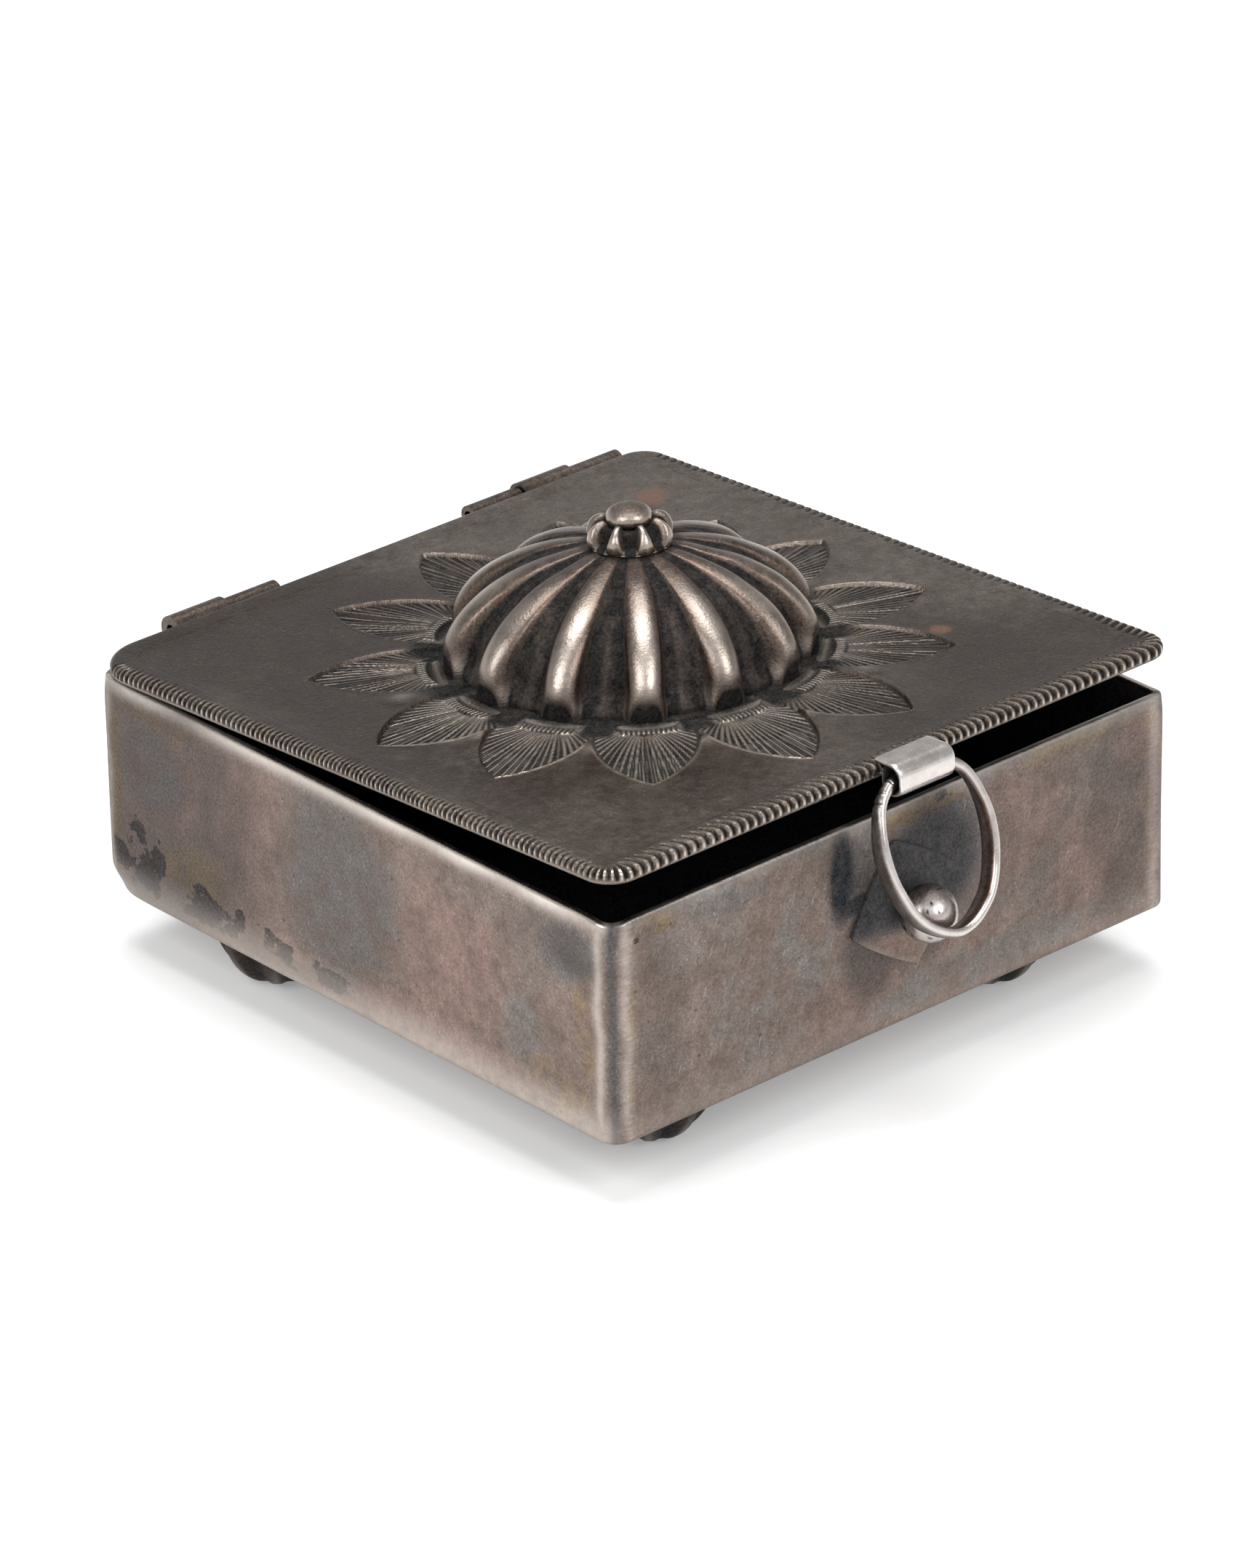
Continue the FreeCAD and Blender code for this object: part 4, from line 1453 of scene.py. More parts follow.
    def leaf_lines(self, u: Array, v: Array, inside: Array, strengths: Array) -> Array:
        """Ridges that fan out over a leaf in slight curves, with a second set near the tip.

        Args:
            u: places along the leaf.
            v: places across the leaf.
            inside: distance inside the leaf's outline.
            strengths: heights of the ridges of both sets.

        Returns:
            Ridge height from 0 to 1 by point.
        """
        fan, reach = np.arctan2(v, u - self.fan_centre), np.hypot(v, u - self.fan_centre)
        fan = fan + 0.012 * reach * np.sin(3.0 * fan)
        half = len(strengths) // 2
        lines = self.fan_lines(fan, reach, 0.0, strengths[:half])
        between = self.fan_lines(fan, reach, 0.5, strengths[half:])
        lines = np.maximum(lines, 0.5 * between * rise(reach, 7.0, 9.0))
        return lines * rise(inside, 0.10, 0.35) * rise(reach, 2.6, 3.2)

    def hollow(self, out: Array, side: Array) -> tuple[Array, Array, Array]:
        """Thumb-shaped hollow at a leaf's base, and the strip of nicks round it.

        Args:
            out: places outward from the hollow's start, along its rib.
            side: places across the rib.

        Returns:
            Depth of the hollow from 0 to 1, the nicks' strip, and the ridges between nicks.
        """
        from_hollow = np.hypot(out / self.hollow_reach, side / self.hollow_half_width)
        in_front = rise(out, -0.4, 0.0)
        hollow = np.sqrt(np.clip(1.0 - from_hollow**2, 0.0, 1.0)) * in_front
        strip = rise(from_hollow, 1.0, 1.12) * (1.0 - rise(from_hollow, 1.7, 2.0)) * in_front
        strip = strip * (1.0 - rise(np.abs(side), 2.4, 3.0))
        nicks = np.cos(2 * np.pi * side / self.nick_pitch + 0.6 * out) * 0.5 + 0.5
        return hollow, strip, nicks

    def stamped_leaf(
        self, x: Array, y: Array, leaf: Leaf, turns: tuple[float, float], strengths: Array
    ) -> tuple[Array, ...]:
        """Work out one leaf's relief and stains, with painted highlights on its edges and lines and painted
        shade in its hollow.

        In the leaf's own axes, u runs out from the dome's centre and v across. With s the share
        of the way from base to tip, its half width is w (0.84 + 0.5 s) (1 - s^1.7)^0.85. The
        floor sinks steeply inside that outline, and thin ridges fan out over it. At its base a
        thumb-shaped hollow lies against the rib's end, with a row of nicks round it.

        Args:
            x: places from the dome's centre.
            y: places from the dome's centre.
            leaf: the leaf.
            turns: angles of the leaf and of its rib.
            strengths: heights of its fan of ridges.

        Returns:
            Distance inside the outline, height, soot with painted shade, wear with painted highlights, and
            gold with a painted golden highlight, each by point.
        """
        axis, rib = turns
        edge_u, edge_v = math.cos(axis), math.sin(axis)
        facing = edge_u * TO_CAMERA[0] + edge_v * TO_CAMERA[1]
        facing_across = edge_u * TO_CAMERA[1] - edge_v * TO_CAMERA[0]
        u, v = x * edge_u + y * edge_v, y * edge_u - x * edge_v
        s = np.clip((u - self.leaf_base) / (leaf.tip - self.leaf_base), 0.0, 1.0)
        half = self.leaf_half_width * (0.84 + 0.5 * s) * (1.0 - s**1.7) ** 0.85
        inside = np.where(u > 0, half - np.abs(v) - np.maximum(u - leaf.tip, 0.0), -FAR)
        floor = rise(inside, 0.0, self.leaf_wall)
        lines = self.leaf_lines(u, v, inside, strengths)
        out = x * math.cos(rib) + y * math.sin(rib) - self.hollow_start
        side = y * math.cos(rib) - x * math.sin(rib)
        hollow, strip, nicks = self.hollow(out, side)

        # Edges that face the light, near and far, get painted highlights.
        edge_faces = 0.5 * facing + 0.85 * np.sign(v) * facing_across
        near = rise(edge_faces, 0.1, 0.8) * rise(facing, 0.4, 0.8)
        far = rise(-edge_faces, 0.1, 0.6)
        sunk = self.leaf_depth * floor * (0.7 + 0.3 * rise(s, 0.2, 0.8)) * (1.0 - 0.5 * strip)
        relief = -sunk + self.fan_height * lines * (1.0 - strip) + self.nick_height * nicks * strip
        lip = (0.02 + 0.08 * near) * hump(inside, -0.16, 0.18) * (1.0 - floor)
        relief = np.where(hollow > 0, -self.hollow_depth * (0.5 + hollow), relief + lip)

        soot_and_shade = rise(inside, 0.12, 0.26) * (0.96 - 0.92 * rise(lines, 0.1, 0.7)) * (1.0 - strip)
        soot_and_shade = soot_and_shade + strip * (0.85 - 0.75 * nicks)
        # In the hollow, painted shade that deepens outward, and a painted highlight next to the rib.
        soot_and_shade = np.where(hollow > 0, 0.45 + 0.45 * rise(out, 0.1, 0.9), soot_and_shade)
        # Lines are brighter on leaves that face the light: painted highlights over rubbed ridges.
        lit = 0.42 + 0.58 * float(facing > 0.6)
        wear_and_highlight = lit * 0.84 * rise(lines, 0.15, 0.7) * (1 - strip) + 0.85 * nicks**2 * strip
        wear_and_highlight = np.maximum(wear_and_highlight, 0.95 * near * hump(inside, -0.14, 0.18))
        wear_and_highlight = np.maximum(wear_and_highlight, 0.6 * far * (0.2 + 0.8 * lines) * hump(inside, 0.02, 0.13))
        wear_and_highlight = np.where(hollow > 0, 0.25 * (1.0 - rise(out, 0.1, 0.6)), wear_and_highlight)
        # Painted golden highlight along the near edge.
        gold = 0.9 * near * hump(inside, -0.08, 0.25)
        return inside, relief, soot_and_shade, wear_and_highlight, gold

    def leaf_field(self, x: Array, y: Array) -> tuple[Array, Stains]:
        """Height and stains of all the leaves: each place belongs to the leaf that it is deepest in.

        Args:
            x: places from the dome's centre.
            y: places from the dome's centre.

        Returns:
            Height by point, and stains by point.
        """
        best = np.full_like(x, -FAR)
        height, soot_and_shade, wear_and_highlight, gold = (np.zeros_like(x) for _ in range(4))
        dice = np.random.default_rng(7)
        leaf_axes = self.spread([leaf.turn for leaf in self.leaves])
        rib_axes = self.spread(self.rib_turns)
        for leaf, axis, rib in zip(self.leaves, leaf_axes, rib_axes):
            strengths = dice.uniform(0.45, 1.0, size=120)
            inside, *parts = self.stamped_leaf(x, y, leaf, (axis, rib), strengths)
            nearest = inside > best
            best = np.where(nearest, inside, best)
            for total, part in zip((height, soot_and_shade, wear_and_highlight, gold), parts):
                total[nearest] = part[nearest]
        # Painted highlight on the folds.
        fold = self.folds(x, y) * (1.0 - rise(best, -0.3, 0.1))
        stains = {
            SOOT_AND_SHADE: soot_and_shade,
            WEAR_AND_HIGHLIGHT: np.clip(wear_and_highlight + 0.5 * fold**2, 0.0, 0.9),
            GOLD: gold,
        }
        return height + self.fold_height * fold, stains

    def folds(self, x: Array, y: Array) -> Array:
        """Small raised fold in the notches between leaves on the side towards the light, as a bell curve on
        each axis; leaf_field paints a highlight on it.
        """
        place = self.place_among([leaf.turn for leaf in self.leaves], np.arctan2(y, x))
        radius = np.hypot(x, y)
        across = ((place % 1.0) - 0.5) * 2 * np.pi / self.rib_count * radius
        near = rise((x * TO_CAMERA[0] + y * TO_CAMERA[1]) / radius, -0.1, 0.6)
        return hump(across, 0.0, 0.9) * hump(radius, 23.4, 1.3) * near

    def border_height(self, points: Array) -> Array:
        """Height of the plain sheet over its flat: a raised border and slow waves."""
        inside = self.outline.depth_inside(points[..., 0], points[..., 1])
        waves = 0.035 * swell(points * np.array([1.0, 1.0, 0.0]), 24.0, 17)
        return 0.10 * hump(inside, 0.6, 2.2) + waves * rise(inside, 0.5, 4.0)

    def sheet_stains(self, points: Array) -> Stains:
        """Slow drifts of the plain sheet's colour: dark left and right corners, a cool back."""
        flat = points * np.array([1.0, 1.0, 0.0])
        sideways = (points[..., 0] - points[..., 1] + self.centre[1]) / math.sqrt(2.0)
        dark = 0.85 * rise(-sideways, 2.0, 18.0) + 0.80 * rise(sideways, 10.0, 34.0)
        dark = dark + 0.22 * swell(flat, 17.0, 67)
        pale = 0.45 * rise(swell(flat, 26.0, 61), -0.1, 0.8) * (1.0 - rise(np.abs(sideways), 8.0, 26.0))
        at_back = rise(points[..., 1] + 1.6 * points[..., 0], 20.0, 50.0)
        return {
            WARM: np.clip(dark - at_back, 0.0, 1.0),
            COOL: np.maximum(pale, at_back),
        }

    def closed_ring(self, top: Array, stains: Stains) -> Skin:
        """Close a stretch of the lid's top, rows from the inside out, with a flat underside.

        Args:
            top: rows of points.
            stains: stain values by point.

        Returns:
            The ring, opened.
        """
        bottom = top[[-1, 0]].copy()
        bottom[..., 2] = self.low_z
        under = np.zeros((2, top.shape[1]))
        closed = {stain: np.concatenate([values, under]) for stain, values in stains.items()}
        # Painted shade on the underside.
        closed[SOOT_AND_SHADE][-2:] = 0.7
        return Skin(self.opened(np.concatenate([top, bottom])), closed, rows_join=True)

    def sheet_rings(self) -> tuple[Skin, ...]:
        """Sheet round the dome: rings of the hollows and the leaves, and a plain one that grows square.

        The rings' radius runs from the dome's foot past the hollows to the leaf zone's edge, and
        then towards the filed border along each ray. Between the ribs' ends the ground is sooty.

        Returns:
            The hollows' ring, the leaves' ring and the plain ring.
        """
        columns = self.rib_count * self.sheet_columns_per_rib
        angles = np.linspace(0, 2 * np.pi, columns, endpoint=False) - np.pi
        edge = self.outline.reach(self.centre, angles, self.border)
        zone_edge = np.minimum(self.leaf_zone, edge - 0.5)
        hole = self.foot_radius(angles) - 0.5
        hollows_end = np.full_like(angles, self.leaf_start)
        limits = (hole, hollows_end, zone_edge, edge)
        from_rib = from_whole(self.place_among(self.rib_turns, angles))
        between = rise(from_rib, 0.28, 0.38)[None]
        skins = []
        for start, end, rows in zip(limits, limits[1:], self.sheet_rows):
            reach = start + (end - start) * np.linspace(0, 1, rows)[:, None]
            x, y = reach * np.cos(angles), reach * np.sin(angles)
            height, stains = self.leaf_field(x, y)
            top = grid(self.centre[0] + x, self.centre[1] + y, self.top_z)
            inside = self.outline.depth_inside(top[..., 0], top[..., 1])
            fade = rise(inside, self.border, self.border + 0.8)
            top[..., 2] += self.border_height(top) + height * fade
            ground = 0.95 * (1.0 - rise(reach, 19.6, 22.4)) * between
            ground = np.maximum(ground, 0.8 * (1.0 - rise(reach, 17.9, 18.3)))
            top[..., 2] += 0.03 * ground * swell(top, 0.8, 45)
            lay(stains, SOOT_AND_SHADE, ground)
            stains[WEAR_AND_HIGHLIGHT] = stains[WEAR_AND_HIGHLIGHT] * (1.0 - ground)
            skins.append(self.closed_ring(top, stains | self.sheet_stains(top)))
        return tuple(skins)

    def edge_section(self) -> tuple[Array, ...]:
        """Section of the border strip: over the top, round the edge, down the side and back below.

        Returns:
            Inset, height and reach of the notches, each as a column of rows.
        """
        low, top = self.low_z, self.top_z
        wide, deep = self.edge_round
        section = [(inset, top - drop, 0.0) for inset, drop in self.strip_start]
        shares = np.linspace(0.0, 1.0, 9)
        section += [(self.filed_from - self.filed_width * a, top - 0.01 * a, a) for a in shares]
        arc = np.radians(np.linspace(10.0, 90.0, 10))
        section += [(wide * (1 - math.sin(a)), top - deep * (1 - math.cos(a)), 1.0) for a in arc]
        section += [(inset, top - drop, reach) for inset, drop, reach in self.edge_side]
        section += [(inset, low + height, 0.0) for inset, height in self.edge_below]
        return tuple(np.array(values)[:, None] for values in zip(*section))

    def notch_places(self, points: Array, outer: Array, inset: Array, on_left: Array) -> Array:
        """Count the notches along the edge, closer together on the left side.

        The count runs round the outer line at an uneven pitch, comes out whole, and slants by
        the square of the distance inwards.

        Args:
            points: grid of points of the strip.
            outer: points of the outer line.
            inset: distance inwards by row.
            on_left: 1 on the left side, by column.

        Returns:
            Place of each point, counted in notches.
        """
        steps = np.hypot(*(np.roll(outer, -1, axis=0) - outer).T)
        pitch = self.notch_pitch + (self.left_pitch - self.notch_pitch) * on_left
        pitch = pitch * (1.0 + 0.12 * swell(outer @ np.eye(2, 3), 30.0, 73))
        drift = 0.12 * swell(points, 9.0, 71)
        count = np.concatenate([[0.0], np.cumsum(steps / pitch)[:-1]])
        return count * round(count[-1]) / count[-1] + self.notch_slant * inset**2 + drift

    def filed_edge(self) -> Skin:
        """Border strip whose rounded edge is filed with slanting notches.

        A notch is a smooth step of the distance from its middle. It thins out towards the
        inside, where each file stroke ends at its own place, and cuts square to the surface.
        """
        columns = self.outline.columns(self.edge_step, self.edge_arc_steps)
        low = self.low_z
        inset, level, reach = self.edge_section()
        flat = np.stack([self.outline.ring(columns, value, 0.2) for value in inset[:, 0]])
        points = grid(flat[..., 0], flat[..., 1], level)
        points[..., 2] += np.where(level > low + 0.5, self.border_height(points), 0.0)
        outer = self.outline.ring(columns, 0.0, 0.2)
        from_left, from_right = outer[:, 0] - self.outline.low[0], self.outline.high[0] - outer[:, 0]
        on_left = rise(2.6 - from_left, 0.0, 2.0)
        on_right = rise(2.6 - from_right, 0.0, 2.0) * rise(outer[:, 1], -33.0, -20.0)
        behind = rise(outer[:, 1], self.outline.high[1] - 4.2, self.outline.high[1] - 2.6)
        notches = self.notch_places(points, outer, inset, on_left)
        distance = from_whole(notches)
        groove = 1.0 - rise(distance, 0.10, 0.17 + 0.09 * reach)
        dice = np.random.default_rng(19)
        strokes = dice.uniform(0.65, 1.15, size=2000)
        own = strokes[np.round(notches).astype(int) % len(strokes)]
        short = 0.42 * on_left + 0.5 * on_right + 0.25 * rise(swell(points, 8.0, 75), 0.0, 1.0)
        reach = rise(reach * (0.75 + 0.4 * own) - short, 0.12, 0.60) * (1.0 - behind)
        cut = self.notch_depth * reach * groove * own
        tilt = rise(inset, 0.0, 0.7) * (np.pi / 2)
        angle = columns.angles[None]
        normal = grid(np.cos(angle) * np.cos(tilt), np.sin(angle) * np.cos(tilt), np.sin(tilt))
        points = points - normal * cut[..., None]

        stains = self.sheet_stains(points)
        outside = 1.0 - rise(inset, 0.5, 2.0)
        near = reach * rise(level, low + 0.15, low + 0.5)
        lower_rim = hump(level, low + 0.28, 0.14) * rise(0.3 - inset, 0.0, 0.1)
        ridge = rise(distance, 0.32, 0.44)
        bright_ridges = ridge * near * (0.10 + 0.85 * outside) * (1.0 - 0.85 * on_right)
        stains[WEAR_AND_HIGHLIGHT] = np.clip(bright_ridges + 0.3 * lower_rim, 0, 1)
        soot_and_shade = 0.95 * rise(groove, 0.3, 0.8) * rise(reach, 0.05, 0.35)
        # Painted shade on the underside.
        stains[SOOT_AND_SHADE] = np.where(level < low + 0.1, 0.6, soot_and_shade)
        return Skin(self.opened(points), stains, rows_join=True)

    def build(self) -> None:
        """Place the dome, the sheet and the filed edge, which stand for the lid sheet."""
        lid, dome = LID_SILVER.material(), DOME_SILVER.material()
        slot = "aged_silver_lid"
        place_piece("lid_dome_skin", self.dome(), dome, Body.LID, slot, "lid_sheet")
        names = ("lid_hollows_skin", "lid_leaves_skin", "lid_plate_skin")
        for name, skin in zip(names, self.sheet_rings()):
            place_piece(name, skin, lid, Body.LID, slot, "lid_sheet")
        place_piece("lid_filed_edge_skin", self.filed_edge(), lid, Body.LID, slot, "lid_sheet")


@dataclass
class Finial:
    """Flower cap and flattened ball on top of the dome."""

    lid: Lid
    lobes: int = 8
    seat_share: float = 0.96
    collar_height: float = 0.32
    flute_depth: float = 1.05
    tooth_rounding: float = 0.30
    crown_sink: float = 0.75
    rows_per_knot: int = 3
    columns_per_lobe: int = 36
    ball_radius: float = 2.2
    ball_flatness: float = 0.60
    ball_rise: float = 2.8
    ball_foot: float = 2.2
    ball_rows: int = 44
    ball_columns: int = 80
    first_tooth: float = 26.2

    # Section through a tooth, from the foot up: radius and height
    profile: tuple[tuple[float, float], ...] = (
        (3.35, 0.0),
        (3.70, 0.06),
        (3.95, 0.18),
        (4.12, 0.34),
        (4.22, 0.55),
        (4.28, 0.85),
        (4.30, 1.15),
        (4.26, 1.45),
        (4.16, 1.75),
        (4.00, 2.05),
        (3.78, 2.32),
        (3.48, 2.56),
        (3.14, 2.72),
        (2.78, 2.80),
        (2.44, 2.70),
        (2.12, 2.40),
        (1.80, 2.15),
    )

    def __post_init__(self) -> None:
        """Work out the seat from the lid."""
        self.centre = self.lid.centre + np.array(self.lid.crown_shift)
        self.seat_z = self.lid.top_z + self.lid.dome_height * self.seat_share

    def cap(self) -> Skin:
        """Cap with a plain collar and deep flutes between teeth that narrow upwards.

        The ridge follows the profile of radius and height, joined by straight lines and
        smoothed. A flute cuts in where the place across the pitch passes the tooth's edge, and
        on the crown it sinks instead.
        """
        knots = np.array(self.profile)
        count = len(knots) - 1
        step = np.linspace(0, count, count * self.rows_per_knot + 1)
        radius, height = (np.interp(step, np.arange(count + 1), knots[:, i])[:, None] for i in (0, 1))
        angles = full_turn(self.lobes * self.columns_per_lobe)
        turned = (angles - math.radians(self.first_tooth)) * self.lobes / (2 * np.pi)
        place = from_whole(turned)
        share = (step / step[-1])[:, None]
        half = 0.33 - 0.20 * rise(share, 0.15, 0.75)
        past_collar = rise(height, self.collar_height - 0.08, self.collar_height + 0.12)
        flute = rise(place, half * 0.75, half + 0.10) * past_collar
        crown = rise(share, 0.70, 0.90)
        deep = self.flute_depth * rise(height, self.collar_height, 1.0) * (1.0 - crown)
        back = self.tooth_rounding * np.clip(place / half, 0, 1) ** 2 * past_collar * (1.0 - crown)
        reach = radius - deep * flute - back * (1.0 - flute)
        sunk = self.crown_sink * flute * rise(share, 0.55, 0.85) * (1.0 - rise(share, 0.9, 1.0))
        x, y = self.centre[0] + reach * np.cos(angles), self.centre[1] + reach * np.sin(angles)
        points = grid(x, y, self.seat_z + height - sunk)
        points += 0.04 * swell(points, 2.2, 81)[..., None]
        # Painted shade at the cap's foot and round the crown under the ball; the flutes' soot is real.
        soot_and_shade = np.maximum(0.97 * rise(flute, 0.25, 0.7), 1.0 - rise(share, 0.02, 0.08))
        soot_and_shade = np.maximum(soot_and_shade, rise(share, 0.84, 0.92) * 0.95)
        bright_ridges = 1.0 - 0.8 * rise(place / half, 0.3, 1.0)
        stains = {
            SOOT_AND_SHADE: soot_and_shade,
            WEAR_AND_HIGHLIGHT: 0.75 * (1.0 - rise(soot_and_shade, 0.1, 0.6)) * bright_ridges,
            GOLD: np.array(0.35),
        }
        return Skin(self.lid.opened(points), stains)

    def ball(self) -> Skin:
        """Flattened ball that sits in the cap's crown."""
        half_height = self.ball_radius * self.ball_flatness
        centre = np.array([*self.centre, self.seat_z + self.ball_rise])
        lowest = math.acos((self.ball_foot - self.ball_rise) / half_height)
        polar = np.linspace(POLE_GAP, lowest, self.ball_rows)[:, None]
        angle = full_turn(self.ball_columns)
        level, up = np.sin(polar), self.ball_flatness * np.cos(polar)
        unit = grid(level * np.cos(angle), level * np.sin(angle), up)
        radius = self.ball_radius + 0.04 * swell(unit * self.ball_radius, 2.4, 91)
        # Painted light: the top greys and the lower part brightens as reflections, and the foot in the cap
        # gets painted shade.
        low = rise(polar, 1.55, 1.9)
        over = 1.0 - rise(polar, 0.7, 1.15)
        stains = {
            WEAR_AND_HIGHLIGHT: 0.52 * (1 - low) * (1.0 - 0.85 * over),
            SOOT_AND_SHADE: np.maximum(0.8 * low, 0.36 * over),
        }
        return Skin(self.lid.opened(centre + unit * radius[..., None]), stains)

    def build(self) -> None:
        """Place the cap and the ball."""
        bright = DOME_SILVER.material()
        place_piece("finial_cap_skin", self.cap(), bright, Body.LID, "bright_silver", "finial_cap")
        place_piece("finial_ball_skin", self.ball(), bright, Body.LID, "bright_silver", "finial_ball")


@dataclass
class Pull:
    """Strap on the lid's front edge and the flattened wire ring that hangs in it."""

    lid: Lid
    strap_width: float = 6.8
    strap_thickness: float = 0.5
    strap_radius: float = 1.375
    strap_straight: float = 0.55
    strap_tab: float = 0.75
    length: float = 15.2
    half_width: float = 6.45
    thickness: float = 1.0
    band_width: float = 2.2
    bar_radius: float = 0.55
    lean: float = math.radians(20.21)
    band_squareness: float = 0.22
    nick_spread: float = 0.0035
    strap_squareness: tuple[float, float] = (0.16, 0.5)
    strap_steps: int = 64
    stations: int = 360
    section_steps: int = 40

    # Right half of the ring's line: place across, drop, and growth from bar to band
    bow_shares: tuple[tuple[float, float, float], ...] = (
        (0.42, 0.000, 0.00),
        (0.62, 0.022, 0.06),
        (0.86, 0.130, 0.35),
        (1.00, 0.360, 0.85),
        (0.93, 0.620, 1.00),
        (0.62, 0.870, 1.00),
    )

    # Nicks in the band: place as a share of the way round, and depth
    nicks: tuple[tuple[float, float], ...] = ((0.80, 0.16), (0.83, 0.10), (0.88, 0.18))

    def __post_init__(self) -> None:
        """Read the ring's bar from the frame."""
        self.bar = millimetres(joint_of("ring_swing")["pos_m"])

    def strap_path(self) -> tuple[Array, Array]:
        """Centreline of the bent strip and its outward normals, in the y-z plane.

        It runs forward over the lid, a quarter turn down, a short straight, half a turn under
        and back up the lid's front edge.

        Returns:
            Points and normals, one row per station.
        """
        y = self.lid.outline.low[1] - self.strap_radius
        high = self.lid.top_z + self.strap_thickness - self.strap_radius
        low = high - self.strap_straight
        middle = self.strap_radius - self.strap_thickness / 2
        back = self.strap_radius + self.strap_tab
        top = np.stack([np.linspace(y + back, y, 8), np.full(8, high + middle)], axis=-1)
        turn = np.radians(np.linspace(90, 180, 12))[1:]
        front = np.stack([y + middle * np.cos(turn), high + middle * np.sin(turn)], axis=-1)
        turn_low = np.radians(np.linspace(180, 360, 22))
        under = np.stack([y + middle * np.cos(turn_low), low + middle * np.sin(turn_low)], axis=-1)
        end = high + middle - self.strap_thickness - 0.02
        rise_up = np.stack([np.full(4, y + middle), np.linspace(low, end, 5)[1:]], axis=-1)
        path = np.concatenate([top, front, under, rise_up])
        along = np.gradient(path, axis=0)
        along /= np.linalg.norm(along, axis=1)[:, None]
        return path, np.stack([along[:, 1], -along[:, 0]], axis=-1)

    def strap(self) -> Skin:
        """Strip with softened edges, carried along its bent path."""
        path, normal = self.strap_path()
        turn = full_turn(self.strap_steps)
        across_power, out_power = self.strap_squareness
        across = signed_power(np.cos(turn), across_power)
        out = signed_power(np.sin(turn), out_power)
        stations = np.linspace(0, 1, len(path))[:, None]
        ragged = 1.0 + 0.02 * np.sin(9.0 * stations) - 0.015 * np.cos(5.0 * stations + 1.0)
        offset = out * self.strap_thickness / 2
        points = grid(
            self.bar[0] + self.strap_width / 2 * across * ragged,
            path[:, :1] + normal[:, :1] * offset,
            path[:, 1:] + normal[:, 1:] * offset,
        )
        points[..., 2] += 0.025 * swell(points, 4.0, 101)
        # Painted shade on the strip's inner face.
        inside = rise(-out, -0.2, 0.4)
        edge = rise(np.abs(across), 0.93, 1.0)
        stains = {
            SOOT_AND_SHADE: 0.9 * inside,
            WEAR_AND_HIGHLIGHT: np.clip(0.86 + 0.14 * edge, 0, 1) * (1 - inside),
        }
        return Skin(self.lid.opened(points), stains)

    def ring_line(self) -> Array:
        """Closed smooth line of the ring in its own plane: across, drop and band growth.

        The chosen places are joined by a periodic cubic whose slope at each place is half the
        difference of its neighbours.
        """
        right = np.array(self.bow_shares)
        left = right[::-1] * np.array([-1.0, 1.0, 1.0])
        knots = np.concatenate([[[0.0, 0.0, 0.0]], right, [[0.0, 1.0, 1.0]], left])
        slope = (np.roll(knots, -1, axis=0) - np.roll(knots, 1, axis=0)) / 2
        place = np.linspace(0, len(knots), self.stations, endpoint=False)
        number = place.astype(int)
        t = (place - number)[:, None]
        after = (number + 1) % len(knots)
        line = (
            (2 * t**3 - 3 * t**2 + 1) * knots[number]
            + (t**3 - 2 * t**2 + t) * slope[number]
            + (3 * t**2 - 2 * t**3) * knots[after]
            + (t**3 - t**2) * slope[after]
        )
        return line * np.array([self.half_width, self.length, 1.0])

    def ring(self) -> Skin:
        """Ring of flattened wire that hangs from its bar and leans on the stud.

        The section is a superellipse: the band is flat inside and round at the front rim, and
        shrinks to a round bar in the strap.
        """
        line = self.ring_line()
        ahead = np.roll(line, -1, axis=0) - np.roll(line, 1, axis=0)
        along = np.stack([ahead[:, 0], -ahead[:, 1]], axis=-1)
        along /= np.linalg.norm(along, axis=1)[:, None]
        outward = np.stack([-along[:, 1], along[:, 0]], axis=-1)
        growth = np.clip(line[:, 2:3], 0.0, 1.0)
        half_band = self.bar_radius + (self.band_width / 2 - self.bar_radius) * growth
        half_thick = self.bar_radius + (self.thickness / 2 - self.bar_radius) * growth
        turn = full_turn(self.section_steps)
        power = 1.0 - self.band_squareness * growth
        across = signed_power(np.cos(turn), power) * half_band
        out = signed_power(np.sin(turn), power) * half_thick
        flat = np.stack([line[:, 0], -line[:, 1]], axis=-1)
        centre = np.array([0.0, -self.length / 2])
        sign = np.sign(np.sum((flat - centre) * outward, axis=1, keepdims=True))
        outward = outward * sign
        travelled = np.arange(self.stations)[:, None] / self.stations
        nick = sum(hump(travelled, place, self.nick_spread) * deep for place, deep in self.nicks)
        out = out - nick * rise(out, 0.1, 0.4)
        x = flat[:, :1] + outward[:, :1] * out
        drop = flat[:, 1:] + outward[:, 1:] * out
        points = grid(
            self.bar[0] + x,
            self.bar[1] + drop * math.sin(self.lean) + across * math.cos(self.lean),
            self.bar[2] + drop * math.cos(self.lean) - across * math.sin(self.lean),
        )
        points += 0.02 * swell(points, 3.0, 111)[..., None]
        # Painted highlight on the front rim; painted shade on the inner face, the back and near the bar.
        inner = rise(-out, 0.10, 0.38) * growth
        front = rise(-across / half_band, 0.66, 0.94)
        behind = rise(across / half_band, -0.5, 0.4)
        near_bar = 1.0 - rise(line[:, 1:2], 0.3, 2.4)
        upper = 1.0 - rise(line[:, 1:2], 4.0, 11.0)
        black = inner * behind * (0.36 + 0.40 * upper)
        stains = {
            SOOT_AND_SHADE: np.clip(black + 0.5 * near_bar * inner + 0.12 * behind, 0, 1),
            WEAR_AND_HIGHLIGHT: np.clip(0.10 + 0.68 * front, 0, 1) * (1 - 0.6 * inner * (1 - front)),
            COOL: 0.6 * (1 - front) * (1 - inner),
            WARM: 0.8 * inner * (1 - behind),
        }
        return Skin(points, stains, rows_join=True)

